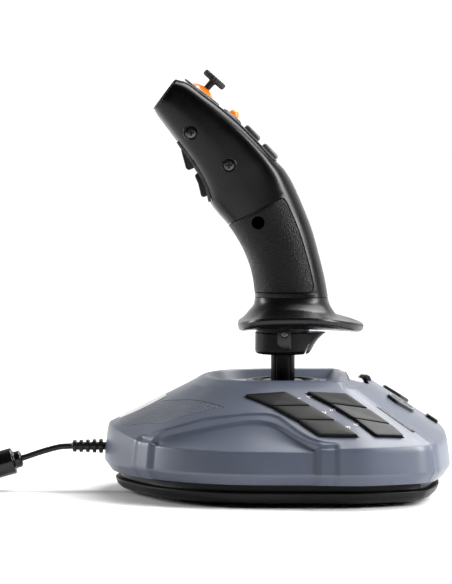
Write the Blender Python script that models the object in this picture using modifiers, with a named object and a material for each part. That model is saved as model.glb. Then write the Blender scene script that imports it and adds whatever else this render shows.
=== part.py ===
"""A desktop flight joystick: a painted base with a sprung two-axis gimbal, and a twisting black grip.

Every size below is in millimetres and every point is measured from the stick's axis: +X is to the user's
right, +Y is away from the user and +Z is up from the surface that the feet stand on.  publish() turns the
finished meshes into Blender's metres, in the frame whose origin is the middle of the base's footprint.
"""

import math

import bmesh
import bpy
from mathutils import Matrix, Vector
from mathutils.bvhtree import BVHTree

MM = 0.001
SHAFT_Y = -3.9  # the stick's axis, seen from the middle of the footprint
GAP = 0.3  # between pieces that touch
PIVOT_Z = 44.0  # where the gimbal's two axes cross

# ---------------------------------------------------------------- base: driving dimensions

# One row for each station round the right half, from the front (cable) to the user's side:
# widest outline x, y | shoulder height | foot of the rim x, y, z | edge of the bowl x, y
STATIONS = (
    ((0, 107.4), 41.2, (0, 53.5, 66.4), (0, 45.5)),
    ((15, 106), 40.3, (12.5, 52.8, 66.4), (10, 44.7)),
    ((29.5, 101.5), 39.0, (24.5, 50, 66.3), (20, 42.2)),
    ((54, 89.5), 35.9, (36, 45, 66.2), (29.5, 37.5)),
    ((69, 79), 36.2, (43.5, 38.5, 66.1), (36, 31.5)),
    ((82, 64), 35.8, (48.5, 30.5, 66), (40.5, 24)),
    ((91.5, 47), 35.6, (51.8, 21.5, 65.9), (43, 15)),
    ((97.5, 29), 35.5, (53.6, 11.5, 65.8), (44, 7)),
    ((99.7, 8), 35.6, (54, 1, 65.8), (44, -2)),
    ((100, -16), 35.6, (54, -12, 65.8), (44, -12)),
    ((100, -31), 35, (54, -22, 65.8), (44, -22)),
    ((99, -50), 35, (54, -34, 65.8), (44, -31)),
    ((89, -76), 35.1, (53, -38.5, 65.8), (42, -32.2)),
    ((81, -86.5), 35.6, (50, -41.5, 65.8), (36, -32.7)),
    ((70, -91.5), 36.2, (35, -49, 66), (24, -33.5)),
    ((41, -98), 37, (18, -52.8, 66.1), (12, -34.3)),
    ((0, -99.6), 37.3, (0, -53.4, 66.1), (0, -35)),
)
SHARP_STATIONS = ((13,), (12, 13), (11,))  # creases of the outline, the rim's foot and the bowl's edge
PANEL = (3, 4, 9, 10)  # the side panel is set back between these stations
PANEL_DEPTH = 3.3
# how far down the slope the panel's arch starts and ends, at stations 3 to 10
ARCH_TOP = (0.90, 0.74, 0.54, 0.46, 0.415, 0.46, 0.83, 0.90)
ARCH_FOOT = (0.93, 0.92, 0.77, 0.62, 0.54, 0.60, 0.92, 0.93)
ARCH_OFF_PANEL = (0.60, 0.74)
WIDEST_Z = 19.5
LIP_Z = 13.6
LIP_IN = 4.2
SKIRT_IN = 2.2
CREST_Z = 70.0
RIM_WIDTH = 3.0
BOWL_FLOOR_Z = 62.7
BOWL_WALL_IN = 5.0
GATE_HOLE_R = 20.6
WALL = 2.6


# Buttons on the base: outlines by their x and y on the right half, as seen from above.
FRONT_STRIP = (((57.5, 23.5), (57.5, -0.5)), ((68, 7.2), (68, -15.3)),
               ((78.5, -7.3), (78.5, -29.3)), ((89.2, -19.5), (89.2, -42)))
REAR_STRIP = (((57.5, -12.5), (58.7, -36)), ((66.2, -26), (67.2, -48.4)),
              ((76.8, -39.6), (75.4, -61)), ((87, -52), (82, -68.3)))
HEX_BUTTON = ((25.5, -62), (33.5, -61), (37.5, -66), (35.5, -75.5), (28, -77), (23.5, -72))
CENTRE_BUTTON = ((-6, -86), (6, -86), (6, -92.5), (-6, -92.5))
BUTTON_PROUD = 1.9
BUTTON_SUNK = 1.8
BUTTON_TRAVEL = 1.2
BUTTON_SEAM = 0.5
THROTTLE_Y = -49.3
THROTTLE_TRAVEL = 22.0
KNOB_HALF = 4.2
# the knob and its stem, towards the user and up from the surface at the slot
KNOB = ((-4.0, 1.7), (-3.2, 3.4), (-1.8, 4.2), (1.6, 3.8), (3.2, 2.6), (3.9, 0.6), (3.8, 0.1), (0.9, 0.7),
        (0.9, -8.1), (-0.9, -8.1), (-0.9, 1.1), (-3.9, 1.5))
PLATE_Y = (-38.8, -47.2)
PLATE_HALF = 30.0
LIGHT_STRIP = ((60.5, -54.3), (73, -74.6))

# ---------------------------------------------------------------- tray, gimbal and cord

TRAY_SECTION = ((12.9, 17.0), (10.6, 17.0), (10.6, 9.4), (6.5, 8.9), (7.9, 5.2), (10.4, 3.0), (14.8, 2.0))
TRAY_INSIDE = ((12.9, 6.0), (14.5, 4.6))
FEET = {"foot_front": (0, 78), "foot_left": (-66, 14), "foot_right": (66, 14),
        "foot_rear_left": (-48, -66), "foot_rear_right": (48, -66)}
FOOT_R = 7.0
GATE_R = (17.5, 22.0)
GATE_Z = (63.0, 67.0)
DOME_R = 25.4
DOME_FLAT = 22.8
DOME_SKIRT = 66.0
SHAFT_R = 7.2
SHAFT_Z = (29.0, 91.0)
RING_R = (16.0, 20.0)
PIN_R = 2.0
POST_X = (28.2, 32.0)
SPRING_R = 10.6
SPRING_WIRE = 0.8
SPRING_TURNS = 5
CORD_R = 1.8
CORD_EXIT = (0, 107.2, 26.6)
RELIEF_END_Y = 126.6
RELIEF_RIBS = (109.5, 113.4, 117.4, 121.4, 125.3)
BEAD_START = (0, 157.0, 19.2)
BEAD_TILT = 15.8
BEAD_SECTION = ((0, 0), (3.4, 0), (5.1, 1.0), (5.1, 4.6), (8, 5.2), (8, 38.5), (6.5, 40), (5, 40.2),
                (5, 43), (3.2, 44), (0, 44))
LEAD_ROUTE = ((0, 127.0, 26.5), (0, 135, 25.9), (0, 146, 22.9), (0, 156.4, 19.4))
TAIL_ROUTE = ((0, 199.8, 7.1), (0, 206, 4.9), (0, 214, 2.5), (0, 224.5, 1.9))
COIL_CENTRE = (-25.2, 240.0)
COIL_R = (16.0, 27.2)
COIL_HEIGHT = 14.4
PLUG_PLACE = (-51.5, 214.0, 4.2)

# ---------------------------------------------------------------- hub, hand rest and grip

HUB_Z = (82.5, 98.4)
HUB_R = 16.7
HUB_NECK_R = 16.0
# height and how far it's drawn out towards the user
HUB_FLARE = ((83.0, 0.0), (86.0, 1.2), (90.0, 3.6), (93.0, 6.4), (95.3, 9.2))
HUB_SHIELD = ((3.5, 96.6), (2.0, 98.3), (-2.8, 98.3), (-4.6, 96.4), (-4.6, 86.4), (-3.0, 85.2),
              (-1.2, 85.4), (3.5, 88.8))
HUB_SCREW = (-0.7, 95.2)
REST_PLAN = ((0, 27), (14, 26.6), (27, 22.5), (36, 12.5), (40, -3), (39.2, -18), (33.5, -31),
             (22.5, -42), (10, -47.6), (0, -48.6))
REST_RIM_Z = (101.6, 102, 103.8, 105.8, 106.6, 106.4, 105, 102.8, 101.2, 100.8)
NECK_TOP_Z = 116.6
GRIP_FOOT_Z = 117.0

# One row for each section of the grip, from its foot to its nose:
# front y, z | back y, z | half width | squareness of the back and of the front | widest at (share)
GRIP = (
    ((16.8, 117.0), (-27.0, 117.0), 20.0, 2.3, 2.3, 0.5),
    ((18.0, 127.0), (-24.9, 128.5), 19.8, 2.3, 2.3, 0.5),
    ((20.6, 137.3), (-21.6, 142.0), 19.6, 2.3, 2.3, 0.5),
    ((25.6, 148.6), (-16.4, 159.8), 19.5, 2.3, 2.3, 0.5),
    ((33.2, 160.3), (-7.4, 181.3), 19.6, 2.4, 2.3, 0.5),
    ((39.4, 167.4), (-1.6, 191.8), 19.9, 3.0, 2.4, 0.48),
    ((43.9, 174.0), (3.9, 197.9), 20.3, 3.8, 2.5, 0.46),
    ((46.0, 181.4), (8.8, 203.3), 20.8, 4.3, 2.6, 0.45),
    ((49.8, 189.6), (15.7, 210.7), 21.3, 4.5, 2.6, 0.45),
    ((55.8, 199.2), (24.6, 219.6), 21.8, 4.5, 2.6, 0.45),
    ((63.4, 209.5), (34.8, 228.4), 22.0, 4.5, 2.6, 0.45),
    ((71.0, 219.7), (45.2, 236.4), 21.8, 4.5, 2.7, 0.45),
    ((75.2, 225.4), (56.2, 244.4), 21.2, 4.5, 2.9, 0.45),
    ((76.8, 228.2), (63.0, 246.6), 20.4, 4.5, 3.0, 0.45),
)
PLATE_START = 6.0  # section where the face plate begins
PLATE_ANGLE = 33.0  # round the section, from the middle of the back
SHELF_DEPTH = 3.4
PLATE_THICK = 3.0
NOSE_THICK = 1.5
HEAD_WALL = 2.4
FOOT_WALL = 3.3
PAD_ROWS = (0.25, 4.0)
PAD_ANGLE = 52.0
PAD_DEPTH = 1.6
PAD_THICK = 1.3
SCREWS = {"grip_screw_upper": (55.0, 215.3), "grip_screw_lower": (32.5, 196.0)}
SCREW_WELL_R = 3.9
PAD_HOLE = (15.1, 161.7)
TRIGGER_PATH = ((63.5, 209.7), (59.5, 204.2), (55.8, 199.3), (52.4, 193.8), (49.7, 189.5),
                (46.6, 183.4), (45.1, 177.9), (44.2, 173.9))
TRIGGER_PLATE_HALF = 9.0
TRIGGER_HALF = 5.8
UPPER_TRIGGER = ((61.2, 205.2), (58.2, 193.9), (56.6, 192.6), (50.6, 195.3), (56.4, 204.6), (59.0, 206.4))
UPPER_HINGE = (58.6, 204.2)
LOWER_TRIGGER = ((51.6, 191.0), (53.0, 189.4), (50.8, 184.6), (49.2, 177.4), (47.8, 176.5),
                 (43.6, 178.2), (45.6, 184.8), (48.2, 191.6))
LOWER_HINGE = (49.6, 189.6)
TRIGGER_TRAVEL = 7.0
# The controls on the face plate, each at its y on the plate's outer surface.
STICK_SEAT_Y = 48.7
STICK_PIVOT_DEPTH = 7.7
STICK_LEAN = 41.5  # from upright, in degrees
STICK_TRAVEL = 13.0
STICK_DOME_R = 11.7
STICK_SKIRT = 70.0
CAP_PROFILE = ((0, 20.4), (6.6, 20.4), (7.6, 19.6), (7.75, 18.6), (7.75, 17.4), (7.2, 16.6), (2.3, 16.6),
               (2.3, 18.2), (0, 18.2))
ORANGE_SEAT_Y = 30.4
ORANGE_R = 3.15
ORANGE_PROUD = 4.5
THUMB_SEATS = {"upper": 19.1, "lower": 8.6}
THUMB_X = (0.9, 12.4)
THUMB_LENGTH = 12.0
THUMB_PROUD = 2.8
THUMB_SUNK = 1.9
THUMB_TRAVEL = 1.0

# ---------------------------------------------------------------- shared helpers

def clear_scene():
    for obj in list(bpy.data.objects):
        bpy.data.objects.remove(obj, do_unlink=True)


def collection(name):
    made = bpy.data.collections.new(name)
    bpy.context.scene.collection.children.link(made)
    return made


def material(name, colour, roughness, metallic=0.0):
    made = bpy.data.materials.new(name)
    made.use_nodes = True
    shader = made.node_tree.nodes["Principled BSDF"]
    shader.inputs["Base Color"].default_value = (*colour, 1.0)
    shader.inputs["Roughness"].default_value = roughness
    shader.inputs["Metallic"].default_value = metallic
    return made


def mesh_object(name, bm, group, look=None):
    """A millimetre bmesh as an object; its mesh stays in millimetres until publish()."""
    bmesh.ops.recalc_face_normals(bm, faces=bm.faces)
    mesh = bpy.data.meshes.new(name)
    bm.to_mesh(mesh)
    bm.free()
    obj = bpy.data.objects.new(name, mesh)
    group.objects.link(obj)
    if look:
        mesh.materials.append(look)
    return obj


def catmull(points, t, sharp=(), mirror_ends=False):
    """A point at t on a smooth curve through the points, with corners where sharp says."""
    last = len(points) - 1
    i = min(int(t), last - 1)
    f = t - i
    p1, p2 = Vector(points[i]), Vector(points[i + 1])

    def beyond(near, far, index, step):
        if index in sharp:
            return near * 2 - far
        if 0 <= index + step <= last:
            return Vector(points[index + step])
        if mirror_ends:
            mirrored = far.copy()
            mirrored.x = -mirrored.x
            return mirrored
        return near * 2 - far

    p0 = beyond(p1, p2, i, -1)
    p3 = beyond(p2, p1, i + 1, 1)
    return 0.5 * (2 * p1 + (p2 - p0) * f + (2 * p0 - 5 * p1 + 4 * p2 - p3) * f * f
                  + (3 * p1 - p0 - 3 * p2 + p3) * f ** 3)


def filleted(points, radii, steps):
    """The line through the points, each corner replaced with steps + 1 points of a small arc."""
    line = []
    for k, (point, radius) in enumerate(zip(points, radii)):
        if radius <= 0 or k in (0, len(points) - 1) or steps < 1:
            line.append(point)
            continue
        back = points[k - 1] - point
        ahead = points[k + 1] - point
        start = point + back.normalized() * min(radius, back.length * 0.45)
        end = point + ahead.normalized() * min(radius, ahead.length * 0.45)
        for n in range(steps + 1):
            f = n / steps
            line.append(start * (1 - f) ** 2 + point * 2 * f * (1 - f) + end * f * f)
    return line


def loft(bm, rings, closed_rings=True, closed_stack=False):
    """Quads between neighbouring rings, which all have the same number of points."""
    grid = [[bm.verts.new(p) for p in ring] for ring in rings]
    stacks = list(zip(grid, grid[1:]))
    if closed_stack:
        stacks.append((grid[-1], grid[0]))
    for low, high in stacks:
        count = len(low)
        for k in range(count if closed_rings else count - 1):
            n = (k + 1) % count
            bm.faces.new((low[k], low[n], high[n], high[k]))
    return grid


def mirrored_ring(half):
    """A whole ring from its right half, whose first and last points lie on the middle plane."""
    left = [Vector((-p.x, p.y, p.z)) for p in half[-2:0:-1]]
    return half + left


# ---------------------------------------------------------------- base cover

def station_line(index, u):
    """Column index of STATIONS, read at u as a smooth line round the base."""
    points = [Vector((*row[index], 0)[:3]) for row in STATIONS]
    return catmull(points, u, SHARP_STATIONS[max(index - 1, 0)], mirror_ends=True)


def station_height(u):
    points = [Vector((0, 0, row[1])) for row in STATIONS]
    return catmull(points, u, SHARP_STATIONS[0]).z


def outward(index, u):
    """The level direction that points out of the outline at u."""
    before = station_line(index, max(u - 0.05, 0))
    after = station_line(index, min(u + 0.05, len(STATIONS) - 1))
    along = after - before
    if u < 0.05 or u > len(STATIONS) - 1.05:
        along.y = 0
    return Vector((-along.y, along.x, 0)).normalized()


def panel_share(u):
    """0 on the main surface, 1 on the side panel, and between them on its two upright bands."""
    start, full, ends, gone = PANEL
    return max(0.0, min(1.0, (u - start) / (full - start), (gone - u) / (gone - ends)))


def arch(table, off_panel, u):
    start, gone = PANEL[0], PANEL[3]
    if u <= start - 1 or u >= gone + 1:
        return off_panel
    if u < start:
        return table[0] + (off_panel - table[0]) * (start - u)
    if u > gone:
        return table[-1] + (off_panel - table[-1]) * (u - gone)
    return catmull([Vector((0, 0, v)) for v in table], u - start).z


def cover_corners(u):
    """The corners of the cover's section at u, from the gate's hole out and down to the lip."""
    out = outward(0, u)
    rim_out = outward(3, u)
    widest = station_line(0, u)
    foot = station_line(2, u)
    bowl = station_line(3, u)
    shoulder = widest - out * SKIRT_IN
    shoulder.z = station_height(u)
    slope = shoulder - foot
    slope_up = Vector((out.x, out.y, 0)).cross(slope).cross(slope).normalized()
    if slope_up.z < 0:
        slope_up = -slope_up
    share = panel_share(u)
    top = foot + slope * arch(ARCH_TOP, ARCH_OFF_PANEL[0], u)
    low = foot + slope * arch(ARCH_FOOT, ARCH_OFF_PANEL[1], u)
    low -= slope_up * PANEL_DEPTH * share
    set_back = out * PANEL_DEPTH * share
    shoulder = shoulder - slope_up * PANEL_DEPTH * share - set_back * 0.4
    widest = widest - set_back
    lip = widest - out * LIP_IN
    angle = math.atan2(bowl.x, bowl.y)
    hole = Vector((math.sin(angle), math.cos(angle), 0)) * GATE_HOLE_R
    floor = bowl - rim_out * BOWL_WALL_IN
    crest = bowl + rim_out * RIM_WIDTH
    return [
        Vector((hole.x, hole.y, BOWL_FLOOR_Z)),
        Vector((floor.x, floor.y, BOWL_FLOOR_Z)),
        Vector((bowl.x, bowl.y, CREST_Z)),
        Vector((crest.x, crest.y, CREST_Z - 0.3)),
        foot,
        top,
        low,
        shoulder,
        Vector((widest.x, widest.y, WIDEST_Z)),
        Vector((lip.x, lip.y, LIP_Z)),
    ]


def cover_radii(u):
    """How much each corner of cover_corners() is rounded."""
    share = panel_share(u)
    end = abs(u - 8) / 8
    shoulder = (3.2 + 3.5 * max(0.0, end - 0.55) / 0.45) * (1 - share) + 1.0 * share
    return [0, 2.0, 1.3, 1.6, 2.0, 0, 0, shoulder, 1.2, 0]


def cover_inside(u):
    """The inner wall of the cover at u, from the lip back up to the gate's hole."""
    out = outward(0, u)
    corners = cover_corners(u)
    hole, floor, foot = corners[0], corners[1], corners[4]
    shoulder, widest, lip = corners[7], corners[8], corners[9]
    inset = WALL + 1.2
    under_floor = floor + outward(3, u) * 1.5
    middle = foot.lerp(shoulder, 0.5)
    return [
        lip - out * WALL,
        widest - out * WALL,
        shoulder - out * inset - Vector((0, 0, WALL)),
        middle - out - Vector((0, 0, inset + 1.4)),
        foot - Vector((0, 0, WALL + 0.6)),
        Vector((under_floor.x, under_floor.y, BOWL_FLOOR_Z - WALL)),
        Vector((hole.x, hole.y, BOWL_FLOOR_Z - WALL)),
    ]


def cover_blank(group, name="base_cover", columns=2, steps=1):
    """The whole cover before its openings are cut; columns is how many there are for each station."""
    count = (len(STATIONS) - 1) * columns
    halves = []
    for k in range(count + 1):
        u = k / columns
        section = filleted(cover_corners(u), cover_radii(u), steps) + cover_inside(u)
        if k in (0, count):
            section = [Vector((0, p.y, p.z)) for p in section]
        halves.append(section)
    rings = [mirrored_ring([half[row] for half in halves]) for row in range(len(halves[0]))]
    bm = bmesh.new()
    loft(bm, rings, closed_stack=True)
    return mesh_object(name, bm, group)


# ---------------------------------------------------------------- placing and finishing

def frame_point(p):
    """A point in millimetres from the stick's axis, in Blender's metres from the footprint's middle."""
    return Vector((p[0], p[1] + SHAFT_Y, p[2])) * MM


def publish(obj, pivot=(0, 0, 0)):
    """Metres, with the object's origin at the pivot; its mesh was in millimetres from the stick's axis."""
    obj.data.transform(Matrix.Translation(-Vector(pivot)))
    obj.data.transform(Matrix.Scale(MM, 4))
    obj.location = frame_point(pivot)
    return obj


def publish_local(obj, place, turn=None):
    """The same, for a mesh made round its own origin: it's put at place and turned."""
    obj.data.transform(Matrix.Scale(MM, 4))
    obj.matrix_world = Matrix.Translation(frame_point(place)) @ (turn or Matrix()).to_4x4()
    return obj


def cut(target, cutter, operation="DIFFERENCE"):
    """Takes the cutter out of the target, or joins it on; both are already in metres."""
    cutter.hide_render = True
    cutter.display_type = "WIRE"
    step = target.modifiers.new(cutter.name, "BOOLEAN")
    step.operation = operation
    step.solver = "EXACT"
    step.object = cutter


def box(name, group, low, high, look=None):
    bm = bmesh.new()
    bmesh.ops.create_cube(bm, size=1)
    low, high = Vector(low), Vector(high)
    for vert in bm.verts:
        vert.co = Vector(low[k] + (vert.co[k] + 0.5) * (high[k] - low[k]) for k in range(3))
    return mesh_object(name, bm, group, look)


def rod(name, group, radius, start, end, look=None, sides=20):
    """A cylinder between two points."""
    start, end = Vector(start), Vector(end)
    bm = bmesh.new()
    bmesh.ops.create_cone(bm, cap_ends=True, segments=sides, radius1=radius, radius2=radius,
                          depth=(end - start).length)
    turn = Vector((0, 0, 1)).rotation_difference(end - start).to_matrix().to_4x4()
    bm.transform(Matrix.Translation((start + end) / 2) @ turn)
    return mesh_object(name, bm, group, look)


def turned(name, group, profile, look=None, steps=32, closed=True):
    """A solid of revolution round its own Z: the profile's radius and height run down its outer side."""
    bm = bmesh.new()
    verts = [bm.verts.new((radius, 0, height)) for radius, height in profile]
    for a, b in zip(verts, verts[1:]):
        bm.edges.new((a, b))
    if closed:
        bm.edges.new((verts[-1], verts[0]))
    mesh = bpy.data.meshes.new(name)
    bm.to_mesh(mesh)
    bm.free()
    obj = bpy.data.objects.new(name, mesh)
    group.objects.link(obj)
    if look:
        mesh.materials.append(look)
    screw = obj.modifiers.new("turn", "SCREW")
    screw.steps = steps
    screw.render_steps = steps
    screw.use_merge_vertices = True
    screw.merge_threshold = 0.00001
    return obj


def prism(name, group, outline, along, look=None):
    """The outline, a list of points, pushed along a vector into a solid."""
    bm = bmesh.new()
    low = [bm.verts.new(Vector(p)) for p in outline]
    high = [bm.verts.new(Vector(p) + Vector(along)) for p in outline]
    bm.faces.new(low)
    bm.faces.new(high)
    for k in range(len(low)):
        n = (k + 1) % len(low)
        bm.faces.new((low[k], low[n], high[n], high[k]))
    return mesh_object(name, bm, group, look)


def tube(name, group, points, radius, look, sides_resolution=2):
    """A round tube along the points, as a curve with filled ends."""
    curve = bpy.data.curves.new(name, "CURVE")
    curve.dimensions = "3D"
    curve.bevel_depth = radius * MM
    curve.bevel_resolution = sides_resolution
    curve.use_fill_caps = True
    spline = curve.splines.new("POLY")
    spline.points.add(len(points) - 1)
    for point, place in zip(spline.points, points):
        point.co = (*(Vector(place) * MM), 1)
    curve.materials.append(look)
    obj = bpy.data.objects.new(name, curve)
    obj.location = frame_point((0, 0, 0))
    group.objects.link(obj)
    return obj


def smooth_route(route, spacing):
    """Points about every spacing along a smooth curve through the route's own points."""
    points = [Vector(p) for p in route]
    fine = [catmull(points, t / 40) for t in range(40 * (len(points) - 1) + 1)]
    length = sum((b - a).length for a, b in zip(fine, fine[1:]))
    pieces = max(2, round(length / spacing))
    chosen, run, wanted = [fine[0]], 0.0, length / pieces
    for a, b in zip(fine, fine[1:]):
        run += (b - a).length
        if run >= wanted * len(chosen) - 1e-6 and len(chosen) < pieces:
            chosen.append(b)
    return chosen + [fine[-1]]


# ---------------------------------------------------------------- base pieces

class Surface:
    """The cover's outer surface, for setting buttons on it."""

    def __init__(self, cover):
        bm = bmesh.new()
        bm.from_mesh(cover.data)
        self.tree = BVHTree.FromBMesh(bm)
        bm.free()

    def drop(self, x, y):
        """The point on the surface above (x, y), and its normal."""
        place, normal, _, _ = self.tree.ray_cast(Vector((x, y, 200)), Vector((0, 0, -1)))
        return place, normal


def fitted_plane(points):
    """The middle of the points and the upward normal of the plane that fits them."""
    middle = sum(points, Vector()) / len(points)
    normal = Vector()
    for a, b in zip(points, points[1:] + points[:1]):
        normal += (a - middle).cross(b - middle)
    normal.normalize()
    return middle, (normal if normal.z > 0 else -normal)


def inset_outline(points, amount):
    """The outline moved in by amount on every side; a negative amount moves it out."""
    middle = sum(points, Vector()) / len(points)
    moved = []
    count = len(points)
    for k in range(count):
        before, here, after = points[k - 1], points[k], points[(k + 1) % count]
        first, second = (here - before).normalized(), (after - here).normalized()
        normal = first.cross(second).normalized()
        side_a, side_b = normal.cross(first), normal.cross(second)
        if side_a.dot(middle - here) < 0:
            side_a, side_b = -side_a, -side_b
        moved.append(here + (side_a + side_b) * (amount / (1 + side_a.dot(side_b))))
    return moved


def button(name, group, outline, normal, look, pivot):
    """A key through the cover: its foot below the surface, a short bevel round its top."""
    levels = ((outline, -BUTTON_SUNK), (outline, BUTTON_PROUD - 0.7),
              (inset_outline(outline, 0.7), BUTTON_PROUD))
    bm = bmesh.new()
    rings = [[bm.verts.new(p + normal * height) for p in points] for points, height in levels]
    for low, high in zip(rings, rings[1:]):
        for k in range(len(low)):
            n = (k + 1) % len(low)
            bm.faces.new((low[k], low[n], high[n], high[k]))
    bm.faces.new(rings[0])
    bm.faces.new(rings[-1])
    bmesh.ops.triangulate(bm, faces=[f for f in bm.faces if len(f.verts) > 4])
    return publish(mesh_object(name, bm, group, look), pivot)


def well(name, cutters, outline, normal, deep=9.0):
    """A cutter a little larger than the outline, through the cover."""
    wide = inset_outline(outline, -GAP - 0.1)
    return publish(prism(name, cutters, [p - normal * deep for p in wide], normal * (deep + 6)))


def strip_buttons(side, name, strip, surface, group, cutters, cover, look):
    """Three parallelogram keys in one well; side is -1 for the left half and 1 for the right."""
    rows = [[surface.drop(side * x, y)[0] for x, y in row] for row in strip]
    corners = [rows[0][0], rows[0][1], rows[3][1], rows[3][0]]
    edge = [row[0] for row in rows] + [row[1] for row in reversed(rows)]
    _, normal = fitted_plane(corners)
    cut(cover, well("well_" + name, cutters, edge, normal))
    made = {}
    for k in range(3):
        upper, lower = rows[k], rows[k + 1]
        down = (lower[0] + lower[1] - upper[0] - upper[1]).normalized() * BUTTON_SEAM / 2
        outline = [upper[0] + down * (k > 0), upper[1] + down * (k > 0),
                   lower[1] - down * (k < 2), lower[0] - down * (k < 2)]
        key = f"{name}_{k + 1}"
        made[key] = normal
        button(key, group, outline, normal, look, sum(outline, Vector()) / 4)
    return made


def base_buttons(surface, group, cutters, cover, looks):
    """Every key on the base, and the direction that each one stands out in."""
    normals = {}
    for side, word in ((-1, "left"), (1, "right")):
        for strip_name, strip in (("front", FRONT_STRIP), ("rear", REAR_STRIP)):
            normals.update(strip_buttons(side, f"button_{strip_name}_{word}", strip, surface,
                                         group, cutters, cover, looks["key"]))
        outline = [surface.drop(side * x, y)[0] for x, y in HEX_BUTTON]
        middle, normal = fitted_plane(outline)
        flat = [p - normal * (p - middle).dot(normal) for p in outline]
        cut(cover, well("well_hex_" + word, cutters, flat, normal))
        button("hex_button_" + word, group, flat, normal, looks["key"], middle)
        normals["hex_button_" + word] = normal
    outline = [surface.drop(x, y)[0] for x, y in CENTRE_BUTTON]
    middle, normal = fitted_plane(outline)
    cut(cover, well("well_centre", cutters, outline, normal))
    button("centre_button", group, outline, normal, looks["key"], middle)
    normals["centre_button"] = normal
    return normals


def throttle(surface, group, cutters, cover, looks):
    """The pale plate behind the bowl, and the knob that slides along the slot at its edge."""
    front, _ = surface.drop(0, PLATE_Y[0])
    back, _ = surface.drop(0, PLATE_Y[1])
    along = (back - front)
    up = Vector((1, 0, 0)).cross(along).normalized()
    up = up if up.z > 0 else -up
    corners = [Vector((x, p.y, p.z)) for x, p in
               ((-PLATE_HALF, front), (PLATE_HALF, front), (PLATE_HALF - 4, back), (-PLATE_HALF + 4, back))]
    pocket = inset_outline(corners, -GAP)
    cut(cover, publish(prism("pocket_throttle", cutters, [p - up * 1.4 for p in pocket], up * 8)))
    publish(prism("throttle_plate", group, [p - up * 1.1 for p in corners], up * 1.4, looks["pale"]))
    reach = THROTTLE_TRAVEL + 4.5
    slot_z, knob_z = 54.0, surface.drop(0, THROTTLE_Y)[0].z
    cut(cover, publish(box("slot_throttle", cutters, (-reach, THROTTLE_Y - 1.3, slot_z),
                           (reach, THROTTLE_Y + 1.3, knob_z + 10))))
    knob = [Vector((-KNOB_HALF, THROTTLE_Y - y, knob_z + z)) for y, z in KNOB]
    publish(prism("throttle_lever", group, knob, (2 * KNOB_HALF, 0, 0), looks["black"]),
            (0, THROTTLE_Y, knob_z))


def light_strips(surface, group, cutters, cover, look):
    """A narrow window let into the crease on each side of the rear slope."""
    for side, word in ((-1, "left"), (1, "right")):
        ends = [surface.drop(side * x, y) for x, y in LIGHT_STRIP]
        up = (ends[0][1] + ends[1][1]).normalized()
        along = (ends[1][0] - ends[0][0]).normalized()
        across = along.cross(up).normalized() * 1.1
        a, b = ends[0][0], ends[1][0]
        outline = [a - across + along * 2.5, a + across, b + across, b - across]
        wide = inset_outline(outline, -GAP)
        cut(cover, publish(prism("groove_" + word, cutters, [p - up * 1.5 for p in wide], up * 6)))
        publish(prism("light_strip_" + word, group, [p - up * 1.2 for p in outline], up * 1.3, look))


def tray_ring(inset, z, columns=2):
    half = []
    count = (len(STATIONS) - 1) * columns
    for k in range(count + 1):
        u = k / columns
        p = station_line(0, u) - outward(0, u) * inset
        half.append(Vector((0 if k in (0, count) else p.x, p.y, z)))
    return mirrored_ring(half)


def base_tray(group, look):
    """The black bottom: a stepped wall that goes up inside the cover, and a flat floor."""
    bm = bmesh.new()
    grid = loft(bm, [tray_ring(*row) for row in TRAY_INSIDE[::-1] + TRAY_SECTION])
    bm.faces.new(grid[0])
    bm.faces.new(grid[-1])
    publish(mesh_object("base_tray", bm, group, look))
    for name, (x, y) in FEET.items():
        publish(rod(name, group, FOOT_R, (x, y, 0), (x, y, TRAY_SECTION[-1][1] - GAP), look, 24))


def gate_ring(group, look):
    low, high = GATE_Z
    inner, outer = GATE_R
    profile = [(inner + 1.7, high), (outer - 0.8, high), (outer, high - 0.8), (outer, low),
               (inner, low), (inner, high - 1.7)]
    publish_local(turned("gate_ring", group, profile, look, 48), (0, 0, 0))


def gimbal_bracket(group, cutters, look):
    """A U-shaped frame on the tray's floor; the gimbal ring's pins turn in its two posts."""
    inner, outer = POST_X
    floor, top = TRAY_INSIDE[1][1] + GAP, PIVOT_Z + 4.6
    outline = [(-outer, floor), (outer, floor), (outer, top), (inner, top), (inner, floor + 3),
               (-inner, floor + 3), (-inner, top), (-outer, top)]
    body = prism("gimbal_bracket", group, [(x, -6, z) for x, z in outline], (0, 12, 0), look)
    publish(body)
    hole = rod("hole_bracket", cutters, PIN_R + GAP, (-40, 0, PIVOT_Z), (40, 0, PIVOT_Z))
    cut(body, publish(hole))


def gimbal_ring(group, cutters, look):
    """The middle member of the gimbal: its pins point left and right, its holes to front and back."""
    inner, outer = RING_R
    profile = [(inner, 3.4), (outer, 3.4), (outer, -3.4), (inner, -3.4)]
    ring = publish_local(turned("gimbal_ring", group, profile, look, 32), (0, 0, PIVOT_Z))
    for side, word in ((-1, "left"), (1, "right")):
        pin = rod("pin_" + word, cutters, PIN_R, (side * (outer - 1.5), 0, PIVOT_Z),
                  (side * (POST_X[1] - 0.6), 0, PIVOT_Z), sides=16)
        cut(ring, publish(pin), "UNION")
    hole = rod("hole_ring", cutters, PIN_R + GAP, (0, -30, PIVOT_Z), (0, 30, PIVOT_Z), sides=16)
    cut(ring, publish(hole))


def stick_shaft(group, cutters, look):
    low, high = SHAFT_Z
    profile = [(0, high), (SHAFT_R - 0.6, high), (SHAFT_R, high - 0.6), (SHAFT_R, low + 6),
               (SHAFT_R - 2, low + 4), (SHAFT_R - 2, low), (0, low)]
    local = [(radius, z - PIVOT_Z) for radius, z in profile]
    shaft = publish_local(turned("stick_shaft", group, local, look, 32, closed=False), (0, 0, PIVOT_Z))
    pin = rod("pin_shaft", cutters, PIN_R, (0, -RING_R[1] + 0.6, PIVOT_Z), (0, RING_R[1] - 0.6, PIVOT_Z),
              sides=16)
    cut(shaft, publish(pin), "UNION")


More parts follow.
